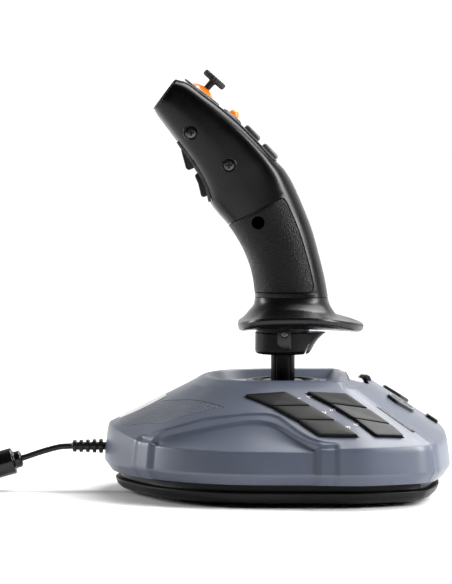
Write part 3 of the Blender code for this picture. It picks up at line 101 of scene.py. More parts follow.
# the knob and its stem, towards the user and up from the surface at the slot
KNOB = ((-4.0, 1.7), (-3.2, 3.4), (-1.8, 4.2), (1.6, 3.8), (3.2, 2.6), (3.9, 0.6), (3.8, 0.1), (0.9, 0.7),
        (0.9, -8.1), (-0.9, -8.1), (-0.9, 1.1), (-3.9, 1.5))
PLATE_Y = (-38.8, -47.2)
PLATE_HALF = 30.0
LIGHT_STRIP = ((60.5, -54.3), (73, -74.6))
TRAY_SECTION = ((12.9, 17.0), (10.6, 17.0), (10.6, 9.4), (6.5, 8.9), (7.9, 5.2), (10.4, 3.0), (14.8, 2.0))
TRAY_INSIDE = ((12.9, 6.0), (14.5, 4.6))
FEET = {"foot_front": (0, 78), "foot_left": (-66, 14), "foot_right": (66, 14),
        "foot_rear_left": (-48, -66), "foot_rear_right": (48, -66)}
FOOT_R = 7.0
GATE_R = (17.5, 22.0)
GATE_Z = (63.0, 67.0)
DOME_R = 25.4
DOME_FLAT = 22.8
DOME_SKIRT = 66.0
SHAFT_R = 7.2
SHAFT_Z = (29.0, 91.0)
CORD_R = 1.8
CORD_EXIT = (0, 107.2, 26.6)
RELIEF_END_Y = 126.6
RELIEF_RIBS = (109.5, 113.4, 117.4, 121.4, 125.3)
BEAD_START = (0, 157.0, 19.2)
BEAD_TILT = 15.8
BEAD_SECTION = ((0, 0), (3.4, 0), (5.1, 1.0), (5.1, 4.6), (8, 5.2), (8, 38.5), (6.5, 40), (5, 40.2),
                (5, 43), (3.2, 44), (0, 44))
LEAD_ROUTE = ((0, 127.0, 26.5), (0, 135, 25.9), (0, 146, 22.9), (0, 156.4, 19.4))
PLUG_PLACE = (-51.5, 214.0, 4.2)
HUB_Z = (82.5, 98.4)
HUB_R = 16.7
HUB_NECK_R = 16.0
# height and how far it's drawn out towards the user
HUB_FLARE = ((83.0, 0.0), (86.0, 1.2), (90.0, 3.6), (93.0, 6.4), (95.3, 9.2))
HUB_SHIELD = ((3.5, 96.6), (2.0, 98.3), (-2.8, 98.3), (-4.6, 96.4), (-4.6, 86.4), (-3.0, 85.2),
              (-1.2, 85.4), (3.5, 88.8))
HUB_SCREW = (-0.7, 95.2)
REST_PLAN = ((0, 27), (14, 26.6), (27, 22.5), (36, 12.5), (40, -3), (39.2, -18), (33.5, -31),
             (22.5, -42), (10, -47.6), (0, -48.6))
REST_RIM_Z = (101.6, 102, 103.8, 105.8, 106.6, 106.4, 105, 102.8, 101.2, 100.8)
NECK_TOP_Z = 116.6
# One row for each section of the grip, from its foot to its nose:
# front y, z | back y, z | half width | squareness of the back and of the front | widest at (share)
GRIP = (
    ((16.8, 117.0), (-27.0, 117.0), 20.0, 2.3, 2.3, 0.5),
    ((18.0, 127.0), (-24.9, 128.5), 19.8, 2.3, 2.3, 0.5),
    ((20.6, 137.3), (-21.6, 142.0), 19.6, 2.3, 2.3, 0.5),
    ((25.6, 148.6), (-16.4, 159.8), 19.5, 2.3, 2.3, 0.5),
    ((33.2, 160.3), (-7.4, 181.3), 19.6, 2.4, 2.3, 0.5),
    ((39.4, 167.4), (-1.6, 191.8), 19.9, 3.0, 2.4, 0.48),
    ((43.9, 174.0), (3.9, 197.9), 20.3, 3.8, 2.5, 0.46),
    ((46.0, 181.4), (8.8, 203.3), 20.8, 4.3, 2.6, 0.45),
    ((49.8, 189.6), (15.7, 210.7), 21.3, 4.5, 2.6, 0.45),
    ((55.8, 199.2), (24.6, 219.6), 21.8, 4.5, 2.6, 0.45),
    ((63.4, 209.5), (34.8, 228.4), 22.0, 4.5, 2.6, 0.45),
    ((71.0, 219.7), (45.2, 236.4), 21.8, 4.5, 2.7, 0.45),
    ((75.2, 225.4), (56.2, 244.4), 21.2, 4.5, 2.9, 0.45),
    ((76.8, 228.2), (63.0, 246.6), 20.4, 4.5, 3.0, 0.45),
)
PLATE_START = 6.0  # section where the face plate begins
PLATE_ANGLE = 33.0  # round the section, from the middle of the back
SHELF_DEPTH = 3.4
NOSE_THICK = 1.5
HEAD_WALL = 2.4
FOOT_WALL = 3.3
PAD_ROWS = (0.25, 4.0)
PAD_ANGLE = 52.0
PAD_DEPTH = 1.6
PAD_THICK = 1.3
SCREWS = {"grip_screw_upper": (55.0, 215.3), "grip_screw_lower": (32.5, 196.0)}
SCREW_WELL_R = 3.9
PAD_HOLE = (15.1, 161.7)
TRIGGER_PATH = ((63.5, 209.7), (59.5, 204.2), (55.8, 199.3), (52.4, 193.8), (49.7, 189.5),
                (46.6, 183.4), (45.1, 177.9), (44.2, 173.9))
TRIGGER_PLATE_HALF = 9.0
TRIGGER_HALF = 5.8
UPPER_TRIGGER = ((61.2, 205.2), (58.2, 193.9), (56.6, 192.6), (50.6, 195.3), (56.4, 204.6), (59.0, 206.4))
LOWER_TRIGGER = ((51.6, 191.0), (53.0, 189.4), (50.8, 184.6), (49.2, 177.4), (47.8, 176.5),
                 (43.6, 178.2), (45.6, 184.8), (48.2, 191.6))
# The controls on the face plate, each at its y on the plate's outer surface.
STICK_SEAT_Y = 48.7
STICK_PIVOT_DEPTH = 7.7
STICK_LEAN = 41.5  # from upright, in degrees
STICK_DOME_R = 11.7
STICK_SKIRT = 70.0
ORANGE_SEAT_Y = 30.4
ORANGE_R = 3.15
ORANGE_PROUD = 4.5
THUMB_SEATS = {"upper": 19.1, "lower": 8.6}
THUMB_X = (0.9, 12.4)
THUMB_LENGTH = 12.0
THUMB_PROUD = 2.8
THUMB_SUNK = 1.9
# how far out from the neck to the rim | how far up, at the sides and back | and in front
REST_BLEND = ((0.0, 1.0, 1.0), (0.03, 0.8, 0.84), (0.12, 0.56, 0.66), (0.28, 0.29, 0.53),
              (0.6, 0.08, 0.27), (0.86, 0.0, 0.06), (0.97, -0.02, 0.0))

# ---------------------------------------------------------------- shapes, as in the CAD source


def mesh_object(name, bm, group, look=None):
    """A millimetre bmesh as an object; its mesh stays in millimetres until piece()."""
    bmesh.ops.recalc_face_normals(bm, faces=bm.faces)
    mesh = bpy.data.meshes.new(name)
    bm.to_mesh(mesh)
    bm.free()
    obj = bpy.data.objects.new(name, mesh)
    group.objects.link(obj)
    if look:
        mesh.materials.append(look)
    return obj


def catmull(points, t, sharp=(), mirror_ends=False):
    """A point at t on a smooth curve through the points, with corners where sharp says."""
    last = len(points) - 1
    i = min(int(t), last - 1)
    f = t - i
    p1, p2 = Vector(points[i]), Vector(points[i + 1])

    def beyond(near, far, index, step):
        if index in sharp:
            return near * 2 - far
        if 0 <= index + step <= last:
            return Vector(points[index + step])
        if mirror_ends:
            mirrored = far.copy()
            mirrored.x = -mirrored.x
            return mirrored
        return near * 2 - far

    p0 = beyond(p1, p2, i, -1)
    p3 = beyond(p2, p1, i + 1, 1)
    return 0.5 * (2 * p1 + (p2 - p0) * f + (2 * p0 - 5 * p1 + 4 * p2 - p3) * f * f
                  + (3 * p1 - p0 - 3 * p2 + p3) * f ** 3)


def filleted(points, radii, steps):
    """The line through the points, each corner replaced with steps + 1 points of a small arc."""
    line = []
    for k, (point, radius) in enumerate(zip(points, radii)):
        if radius <= 0 or k in (0, len(points) - 1) or steps < 1:
            line.append(point)
            continue
        back = points[k - 1] - point
        ahead = points[k + 1] - point
        start = point + back.normalized() * min(radius, back.length * 0.45)
        end = point + ahead.normalized() * min(radius, ahead.length * 0.45)
        for n in range(steps + 1):
            f = n / steps
            line.append(start * (1 - f) ** 2 + point * 2 * f * (1 - f) + end * f * f)
    return line


def loft(bm, rings, closed_rings=True, closed_stack=False):
    """Quads between neighbouring rings, which all have the same number of points."""
    grid = [[bm.verts.new(p) for p in ring] for ring in rings]
    stacks = list(zip(grid, grid[1:]))
    if closed_stack:
        stacks.append((grid[-1], grid[0]))
    for low, high in stacks:
        count = len(low)
        for k in range(count if closed_rings else count - 1):
            n = (k + 1) % count
            bm.faces.new((low[k], low[n], high[n], high[k]))
    return grid


def mirrored_ring(half):
    """A whole ring from its right half, whose first and last points lie on the middle plane."""
    left = [Vector((-p.x, p.y, p.z)) for p in half[-2:0:-1]]
    return half + left


def station_line(index, u):
    """Column index of STATIONS, read at u as a smooth line round the base."""
    points = [Vector((*row[index], 0)[:3]) for row in STATIONS]
    return catmull(points, u, SHARP_STATIONS[max(index - 1, 0)], mirror_ends=True)


def station_height(u):
    points = [Vector((0, 0, row[1])) for row in STATIONS]
    return catmull(points, u, SHARP_STATIONS[0]).z


def outward(index, u):
    """The level direction that points out of the outline at u."""
    before = station_line(index, max(u - 0.05, 0))
    after = station_line(index, min(u + 0.05, len(STATIONS) - 1))
    along = after - before
    if u < 0.05 or u > len(STATIONS) - 1.05:
        along.y = 0
    return Vector((-along.y, along.x, 0)).normalized()


def arch(table, off_panel, u):
    start, gone = PANEL[0], PANEL[3]
    if u <= start - 1 or u >= gone + 1:
        return off_panel
    if u < start:
        return table[0] + (off_panel - table[0]) * (start - u)
    if u > gone:
        return table[-1] + (off_panel - table[-1]) * (u - gone)
    return catmull([Vector((0, 0, v)) for v in table], u - start).z


def cover_corners(u):
    """The corners of the cover's section at u, from the gate's hole out and down to the lip."""
    out = outward(0, u)
    rim_out = outward(3, u)
    widest = station_line(0, u)
    foot = station_line(2, u)
    bowl = station_line(3, u)
    shoulder = widest - out * SKIRT_IN
    shoulder.z = station_height(u)
    slope = shoulder - foot
    slope_up = Vector((out.x, out.y, 0)).cross(slope).cross(slope).normalized()
    if slope_up.z < 0:
        slope_up = -slope_up
    share = panel_share(u)
    top = foot + slope * arch(ARCH_TOP, ARCH_OFF_PANEL[0], u)
    low = foot + slope * arch(ARCH_FOOT, ARCH_OFF_PANEL[1], u)
    low -= slope_up * PANEL_DEPTH * share
    set_back = out * PANEL_DEPTH * share
    shoulder = shoulder - slope_up * PANEL_DEPTH * share - set_back * 0.4
    widest = widest - set_back
    lip = widest - out * LIP_IN
    angle = math.atan2(bowl.x, bowl.y)
    hole = Vector((math.sin(angle), math.cos(angle), 0)) * GATE_HOLE_R
    floor = bowl - rim_out * BOWL_WALL_IN
    crest = bowl + rim_out * RIM_WIDTH
    return [
        Vector((hole.x, hole.y, BOWL_FLOOR_Z)),
        Vector((floor.x, floor.y, BOWL_FLOOR_Z)),
        Vector((bowl.x, bowl.y, CREST_Z)),
        Vector((crest.x, crest.y, CREST_Z - 0.3)),
        foot,
        top,
        low,
        shoulder,
        Vector((widest.x, widest.y, WIDEST_Z)),
        Vector((lip.x, lip.y, LIP_Z)),
    ]


def cover_radii(u):
    """How much each corner of cover_corners() is rounded."""
    share = panel_share(u)
    end = abs(u - 8) / 8
    shoulder = (3.2 + 3.5 * max(0.0, end - 0.55) / 0.45) * (1 - share) + 1.0 * share
    return [0, 2.0, 1.3, 1.6, 2.0, 0, 0, shoulder, 1.2, 0]


def cover_inside(u):
    """The inner wall of the cover at u, from the lip back up to the gate's hole."""
    out = outward(0, u)
    corners = cover_corners(u)
    hole, floor, foot = corners[0], corners[1], corners[4]
    shoulder, widest, lip = corners[7], corners[8], corners[9]
    inset = WALL + 1.2
    under_floor = floor + outward(3, u) * 1.5
    middle = foot.lerp(shoulder, 0.5)
    return [
        lip - out * WALL,
        widest - out * WALL,
        shoulder - out * inset - Vector((0, 0, WALL)),
        middle - out - Vector((0, 0, inset + 1.4)),
        foot - Vector((0, 0, WALL + 0.6)),
        Vector((under_floor.x, under_floor.y, BOWL_FLOOR_Z - WALL)),
        Vector((hole.x, hole.y, BOWL_FLOOR_Z - WALL)),
    ]


def box(name, group, low, high, look=None):
    bm = bmesh.new()
    bmesh.ops.create_cube(bm, size=1)
    low, high = Vector(low), Vector(high)
    for vert in bm.verts:
        vert.co = Vector(low[k] + (vert.co[k] + 0.5) * (high[k] - low[k]) for k in range(3))
    return mesh_object(name, bm, group, look)


def rod(name, group, radius, start, end, look=None, sides=20):
    """A cylinder between two points."""
    start, end = Vector(start), Vector(end)
    bm = bmesh.new()
    bmesh.ops.create_cone(bm, cap_ends=True, segments=sides, radius1=radius, radius2=radius,
                          depth=(end - start).length)
    turn = Vector((0, 0, 1)).rotation_difference(end - start).to_matrix().to_4x4()
    bm.transform(Matrix.Translation((start + end) / 2) @ turn)
    return mesh_object(name, bm, group, look)


def prism(name, group, outline, along, look=None):
    """The outline, a list of points, pushed along a vector into a solid."""
    bm = bmesh.new()
    low = [bm.verts.new(Vector(p)) for p in outline]
    high = [bm.verts.new(Vector(p) + Vector(along)) for p in outline]
    bm.faces.new(low)
    bm.faces.new(high)
    for k in range(len(low)):
        n = (k + 1) % len(low)
        bm.faces.new((low[k], low[n], high[n], high[k]))
    return mesh_object(name, bm, group, look)


class Surface:
    """The cover's outer surface, for setting buttons on it."""

    def __init__(self, cover):
        bm = bmesh.new()
        bm.from_mesh(cover.data)
        self.tree = BVHTree.FromBMesh(bm)
        bm.free()

    def drop(self, x, y):
        """The point on the surface above (x, y), and its normal."""
        place, normal, _, _ = self.tree.ray_cast(Vector((x, y, 200)), Vector((0, 0, -1)))
        return place, normal


def fitted_plane(points):
    """The middle of the points and the upward normal of the plane that fits them."""
    middle = sum(points, Vector()) / len(points)
    normal = Vector()
    for a, b in zip(points, points[1:] + points[:1]):
        normal += (a - middle).cross(b - middle)
    normal.normalize()
    return middle, (normal if normal.z > 0 else -normal)


def inset_outline(points, amount):
    """The outline moved in by amount on every side; a negative amount moves it out."""
    middle = sum(points, Vector()) / len(points)
    moved = []
    count = len(points)
    for k in range(count):
        before, here, after = points[k - 1], points[k], points[(k + 1) % count]
        first, second = (here - before).normalized(), (after - here).normalized()
        normal = first.cross(second).normalized()
        side_a, side_b = normal.cross(first), normal.cross(second)
        if side_a.dot(middle - here) < 0:
            side_a, side_b = -side_a, -side_b
        moved.append(here + (side_a + side_b) * (amount / (1 + side_a.dot(side_b))))
    return moved


def tray_ring(inset, z, columns=2):
    half = []
    count = (len(STATIONS) - 1) * columns
    for k in range(count + 1):
        u = k / columns
        p = station_line(0, u) - outward(0, u) * inset
        half.append(Vector((0 if k in (0, count) else p.x, p.y, z)))
    return mirrored_ring(half)


def along_y(tilt=0.0):
    """Turns a piece that was made round Z so that its Z points to +Y, tipped down by tilt degrees."""
    return Matrix.Rotation(math.radians(-90 - tilt), 3, "X")


def grip_section(s):
    """Front and back points, half width and shape of the grip's section at s, read between the rows."""
    def read(column):
        values = [Vector((*row[column], 0)) if column < 2 else Vector((row[column], 0, 0)) for row in GRIP]
        return catmull(values, s)
    front, back = read(0), read(1)
    return front, back, read(2).x, read(3).x, read(4).x, read(5).x


def section_point(s, angle, inset=0.0, side=1):
    """The point on section s at angle round it, from 0 in the middle of the back to 180 in front."""
    front, back, half, n_back, n_front, share = grip_section(s)
    depth = (front - back).length
    toward = (front - back) / depth
    inner, half = depth - 2 * inset, half - inset
    cosine, sine = math.cos(math.radians(angle)), abs(math.sin(math.radians(angle)))
    if angle <= 90:
        n = n_back
        run = share * inner * (1 - abs(cosine) ** (2 / n))
    else:
        n = n_front
        run = share * inner + (1 - share) * inner * abs(cosine) ** (2 / n)
    place = back + toward * (inset + run)
    return Vector((side * max(half * sine ** (2 / n), 0.15), place.x, place.y))


def section_depth(s, x, depth, side=1):
    """The point on section s that's depth below the middle of the back, x from the middle plane."""
    front, back = grip_section(s)[:2]
    place = back + (front - back).normalized() * depth
    return Vector((side * x, place.x, place.y))


def plate_edge(s):
    return section_point(s, PLATE_ANGLE).x


def shell_inner_row(s, under_plate, side):
    wall = HEAD_WALL if under_plate else FOOT_WALL
    last = len(GRIP) - 1
    s = min(s, last - 0.35)
    if under_plate:
        row = [section_depth(s, 0.15, SHELF_DEPTH + 1.8, side),
               section_depth(s, plate_edge(s) - 2.5, SHELF_DEPTH + 1.8, side)]
    else:
        row = [section_point(s, 0, wall, side), section_point(s, 24, wall, side)]
    row.append(section_point(s, 54 if under_plate else 38, wall, side))
    return row + [section_point(s, angle, wall, side) for angle in INNER_ANGLES]


def face_at(y):
    """The point at y on the face plate's outer surface, with its outward and its upward direction."""
    low, high = PLATE_START, len(GRIP) - 1.0
    for _ in range(40):
        middle = (low + high) / 2
        if grip_section(middle)[1].x < y:
            low = middle
        else:
            high = middle
    here, ahead = grip_section(low - 0.1)[1], grip_section(low + 0.1)[1]
    along = (ahead - here).normalized()
    place = grip_section(low)[1]
    return (Vector((0, place.x, place.y)), Vector((0, -along.y, along.x)), Vector((0, along.x, along.y)))


def tilt_matrix(direction):
    """Turns a piece made round Z so that its Z follows the direction and its X stays level."""
    up = direction.normalized()
    side = Vector((1, 0, 0))
    ahead = up.cross(side)
    return Matrix((side, ahead, up)).transposed()


def stick_axis():
    lean = math.radians(STICK_LEAN)
    return Vector((0, -math.sin(lean), math.cos(lean)))


def stick_pivot():
    seat, normal, _ = face_at(STICK_SEAT_Y)
    return seat - normal * STICK_PIVOT_DEPTH


def path_band(path, outward_by, inward_by):
    """The band on both sides of a y-z path that runs down the grip's front: outer points, then inner."""
    points = [Vector((0, y, z)) for y, z in path]
    outer, inner = [], []
    for k, point in enumerate(points):
        along = (points[min(k + 1, len(points) - 1)] - points[max(k - 1, 0)]).normalized()
        normal = Vector((0, -along.z, along.y))
        outer.append(point + normal * outward_by)
        inner.append(point - normal * inward_by)
    return outer + inner[::-1]


def band_prism(name, group, path, outward_by, inward_by, half, look=None):
    band = [p - Vector((half, 0, 0)) for p in path_band(path, outward_by, inward_by)]
    count = len(path)
    bm = bmesh.new()
    near = [bm.verts.new(p) for p in band]
    far = [bm.verts.new(p + Vector((2 * half, 0, 0))) for p in band]
    for k in range(2 * count):
        n = (k + 1) % (2 * count)
        bm.faces.new((near[k], near[n], far[n], far[k]))
    for k in range(count - 1):
        for side in (near, far):
            bm.faces.new((side[k], side[k + 1], side[2 * count - 2 - k], side[2 * count - 1 - k]))
    return publish(mesh_object(name, bm, group, look))


def between(path, start, end):
    """The part of a path between two of its parameters, with its own points kept."""
    points = [Vector((*p, 0)) for p in path]

    def at(t):
        k = min(int(t), len(points) - 2)
        place = points[k].lerp(points[k + 1], t - k)
        return (place.x, place.y)
    inside = [path[k] for k in range(len(path)) if start < k < end]
    return [at(start)] + inside + [at(end)]


def rest_point(t):
    """The rim's plan point and height at t, from 0 in front to 1 at the back of the right half."""
    u = t * (len(REST_PLAN) - 1)
    plan = catmull([Vector((*p, 0)) for p in REST_PLAN], u, mirror_ends=True)
    height = catmull([Vector((0, 0, z)) for z in REST_RIM_Z], u).z
    return plan, height


def rest_column(t):
    """Points down the hand rest at t: neck, dished top, lip, underside and foot."""
    plan, rim = rest_point(t)
    neck = section_point(0, 180 * (1 - t))
    neck = Vector((neck.x if 0 < t < 1 else 0, neck.y, 0))
    plan.x = plan.x if 0 < t < 1 else 0
    frontal = max(0.0, 1 - t * 2.6)
    points = []
    for share, plain, steep in REST_BLEND:
        rise = plain * (1 - frontal) + steep * frontal
        place = neck.lerp(plan, share)
        points.append(Vector((place.x, place.y, rim + (NECK_TOP_Z - rim) * rise)))
    angle = math.pi * t
    foot = Vector((math.sin(angle) * 16.2, math.cos(angle) * 16.2, 0))
    points.append(Vector((plan.x, plan.y, rim - 1.3)))
    points.append(Vector((plan.x * 0.985, plan.y * 0.985, rim - 4.2)))
    points.append(Vector((plan.x * 0.93, plan.y * 0.93, rim - 5.2)))
    low = foot.lerp(plan, 0.5)
    points.append(Vector((low.x, low.y, rim * 0.4 + 96.6 * 0.6 - 1.8)))
    points.append(Vector((foot.x, foot.y, HUB_Z[1] + GAP)))
    return points


def hub_ring(z, flare, radius=HUB_R, sides=28):
    ring = []
    for k in range(sides):
        angle = 2 * math.pi * k / sides
        x, y = math.sin(angle) * radius, math.cos(angle) * radius
        if y < 0:
            y -= flare * (y / radius) ** 2
        ring.append(Vector((x, y, z)))
    return ring


HOLLOW = 1.1
BAND = ((0.0, 0.0), (0.16, 0.30), (0.76, 0.44), (1.0, 1.0))


def panel_share(u):
    """0 on the main surface, 1 on the side panel; its bands are a low step, a flat, and a higher step."""
    start, full, ends, gone = PANEL
    across = max(0.0, min(1.0, (u - start) / (full - start), (gone - u) / (gone - ends)))
    for (a, low), (b, high) in zip(BAND, BAND[1:]):
        if across <= b:
            return low + (high - low) * (across - a) / (b - a)
    return 1.0


def fine_corners(u):
    """The cover's corners with a stepped band and a slightly hollow side panel, and their radii."""
    corners, radii = cover_corners(u), cover_radii(u)
    top, low, shoulder = corners[5:8]
    share = panel_share(u)
    out = outward(0, u)
    rise = Vector((-out.y, out.x, 0)).cross(shoulder - low).normalized()
    rise = rise if rise.z > 0 else -rise
    level = low + rise * PANEL_DEPTH * share
    steps = [top.lerp(level, place) - rise * PANEL_DEPTH * share * depth for place, depth in BAND[1:3]]
    hollow = [low.lerp(shoulder, f) - rise * HOLLOW * share * 4 * f * (1 - f) for f in (0.25, 0.5, 0.75)]
    edges = [0.6, 0.6, 0.6, 0.6]
    return (corners[:6] + steps + [low] + hollow + corners[7:],
            radii[:5] + edges + [0, 0, 0] + radii[7:])


def fine_cover(columns=16, steps=4):
    count = (len(STATIONS) - 1) * columns
    halves = []
    for k in range(count + 1):
        u = k / columns
        section = filleted(*fine_corners(u), steps) + cover_inside(u)
        if k in (0, count):
            section = [Vector((0, p.y, p.z)) for p in section]
        halves.append(section)
    rings = [mirrored_ring([half[row] for half in halves]) for row in range(len(halves[0]))]
    bm = bmesh.new()
    loft(bm, rings, closed_stack=True)
    return mesh_object("cover", bm, PIECES)


# ---------------------------------------------------------------- scene helpers

PIECES = bpy.data.collections.new("looks")
bpy.context.scene.collection.children.link(PIECES)


def publish(obj):
    """A band_prism() tool stays in millimetres here, as everything does until piece()."""
    return obj


def to_frame(point):
    return Vector((point[0], point[1] + SHAFT_Y, point[2])) * MM


def lathe(profile, steps=48, ripple=None):
    """A solid of revolution round Z as a bmesh; ripple changes the radius with the angle and the height."""
    bm = bmesh.new()
    rings = []
    for radius, height in profile:
        if radius < 1e-6:
            rings.append([bm.verts.new((0, 0, height))])
            continue
        ring = []
        for k in range(steps):
            angle = 2 * math.pi * k / steps
            wide = ripple(angle, radius, height) if ripple else radius
            ring.append(bm.verts.new((wide * math.cos(angle), wide * math.sin(angle), height)))
        rings.append(ring)
    pairs = list(zip(rings, rings[1:]))
    if len(rings[0]) > 1 and len(rings[-1]) > 1:
        pairs.append((rings[-1], rings[0]))
    for a, b in pairs:
        for k in range(steps):
            n = (k + 1) % steps
            if len(a) == 1 and len(b) > 1:
                bm.faces.new((a[0], b[n], b[k]))
            elif len(b) == 1 and len(a) > 1:
                bm.faces.new((a[k], a[n], b[0]))
            elif len(a) > 1:
                bm.faces.new((a[k], a[n], b[n], b[k]))
    return bm


def soft_profile(points, radius, steps=3):
    """The profile with each corner rounded; its first and last points stay."""
    corners = [Vector((p[0], p[1], 0)) for p in points]
    line = filleted(corners, [radius] * len(corners), steps)
    return [(max(p.x, 0), p.y) for p in line]


def solid(name, bm, place=(0, 0, 0), turn=None):
    """A millimetre bmesh, turned and moved to its place, as an object that isn't a piece yet."""
    if turn is not None:
        bm.transform(turn.to_4x4())
    bm.transform(Matrix.Translation(Vector(place)))
    return mesh_object(name, bm, PIECES)


def evaluated(obj):
    """The object's mesh with its modifiers in it."""
    graph = bpy.context.evaluated_depsgraph_get()
    mesh = bpy.data.meshes.new_from_object(obj.evaluated_get(graph))
    obj.modifiers.clear()
    old = obj.data
    obj.data = mesh
    bpy.data.meshes.remove(old)


def carve(target, cutters):
    """Takes the cutters out of the target for good, all at once."""
    joined = bmesh.new()
    for cutter in cutters:
        joined.from_mesh(cutter.data)
        bpy.data.objects.remove(cutter, do_unlink=True)
    tool = mesh_object("tool", joined, PIECES)
    step = target.modifiers.new("carve", "BOOLEAN")
    step.operation = "DIFFERENCE"
    step.solver = "EXACT"
    step.object = tool
    evaluated(target)
    bpy.data.objects.remove(tool, do_unlink=True)


def weighted(obj):
    """Lets the large faces set the shading, so that a narrow rounded edge stays crisp."""
    step = obj.modifiers.new("shading", "WEIGHTED_NORMAL")
    step.mode = "FACE_AREA"
    step.weight = 50
    step.keep_sharp = True


def healed(obj):
    """Closes the hairline openings that a cut along a curved face can leave."""
    bm = bmesh.new()
    bm.from_mesh(obj.data)
    bmesh.ops.remove_doubles(bm, verts=bm.verts, dist=0.002)
    bmesh.ops.dissolve_degenerate(bm, edges=bm.edges, dist=0.001)
    loose = [e for e in bm.edges if not e.link_faces]
    bmesh.ops.delete(bm, geom=loose, context="EDGES")
    bmesh.ops.holes_fill(bm, edges=[e for e in bm.edges if e.is_boundary], sides=0)
    bm.to_mesh(obj.data)
    bm.free()


def rounded_edges(obj, width, segments=2, angle=35):
    step = obj.modifiers.new("edges", "BEVEL")
    step.width = width
    step.segments = segments
    step.limit_method = "ANGLE"
    step.angle_limit = math.radians(angle)
    step.use_clamp_overlap = True
    evaluated(obj)


def piece(obj, body, look, stands_for=(), smooth=38):
    """Bakes a millimetre object into the row frame and makes it a piece that rides on a body."""
    mesh = obj.data
    face_outward(mesh)
    mesh.transform(Matrix.Translation((0, SHAFT_Y, 0)))
    mesh.transform(Matrix.Scale(MM, 4))
    mesh.materials.clear()
    mesh.materials.append(look)
    mesh.polygons.foreach_set("use_smooth", [True] * len(mesh.polygons))
    mesh.set_sharp_from_angle(angle=math.radians(smooth))
    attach(obj, body)
    for node in stands_for:
        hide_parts(node)
    return obj


def face_outward(mesh):
    bm = bmesh.new()
    bm.from_mesh(mesh)
    if bm.calc_volume(signed=True) < 0:
        bmesh.ops.reverse_faces(bm, faces=bm.faces)
        bm.to_mesh(mesh)
    bm.free()


def rounded_outline(points, radius, steps=4):
    """A closed outline with its corners turned into short arcs."""
    line = []
    count = len(points)
    for k, point in enumerate(points):
        back, ahead = points[k - 1] - point, points[(k + 1) % count] - point
        reach = min(radius, back.length * 0.45, ahead.length * 0.45)
        start, end = point + back.normalized() * reach, point + ahead.normalized() * reach
        for n in range(steps + 1):
            f = n / steps
            line.append(start * (1 - f) ** 2 + point * 2 * f * (1 - f) + end * f * f)
    return line


def capped(rings):
    bm = bmesh.new()
    grid = loft(bm, rings)
    bm.faces.new(grid[0])
    bm.faces.new(grid[-1])
    return bm


# ---------------------------------------------------------------- materials

def nodes_of(look):
    return look.node_tree.nodes, look.node_tree.links


def noise(look, scale, detail=3.0, rough=0.55, vector=None, kind="ShaderNodeTexNoise"):
    nodes, links = nodes_of(look)
    made = nodes.new(kind)
    made.inputs["Scale"].default_value = scale
    if kind == "ShaderNodeTexNoise":
        made.inputs["Detail"].default_value = detail
        made.inputs["Roughness"].default_value = rough
    source = vector or nodes.new("ShaderNodeTexCoord").outputs["Object"]
    links.new(source, made.inputs["Vector"])
    return made


def remap(look, value, low, high, start=0.3, end=0.7):
    nodes, links = nodes_of(look)
    made = nodes.new("ShaderNodeMapRange")
    made.inputs["From Min"].default_value = start
    made.inputs["From Max"].default_value = end
    made.inputs["To Min"].default_value = low
    made.inputs["To Max"].default_value = high
    links.new(value, made.inputs["Value"])
    return made.outputs["Result"]


def math_node(look, operation, a, b):
    nodes, links = nodes_of(look)
    made = nodes.new("ShaderNodeMath")
    made.operation = operation
    for socket, value in zip(made.inputs, (a, b)):
        if isinstance(value, (int, float)):
            socket.default_value = value
        else:
            links.new(value, socket)
    return made.outputs["Value"]


def mixed(look, factor, first, second):
    """A colour between first and second; each is a colour or a socket."""
    nodes, links = nodes_of(look)
    made = nodes.new("ShaderNodeMix")
    made.data_type = "RGBA"
    links.new(factor, made.inputs["Factor"])
    for name, value in (("A", first), ("B", second)):
        socket = [s for s in made.inputs if s.name == name and s.type == "RGBA"][0]
        if isinstance(value, tuple):
            socket.default_value = (*value, 1)
        else:
            links.new(value, socket)
    return [s for s in made.outputs if s.type == "RGBA"][0]


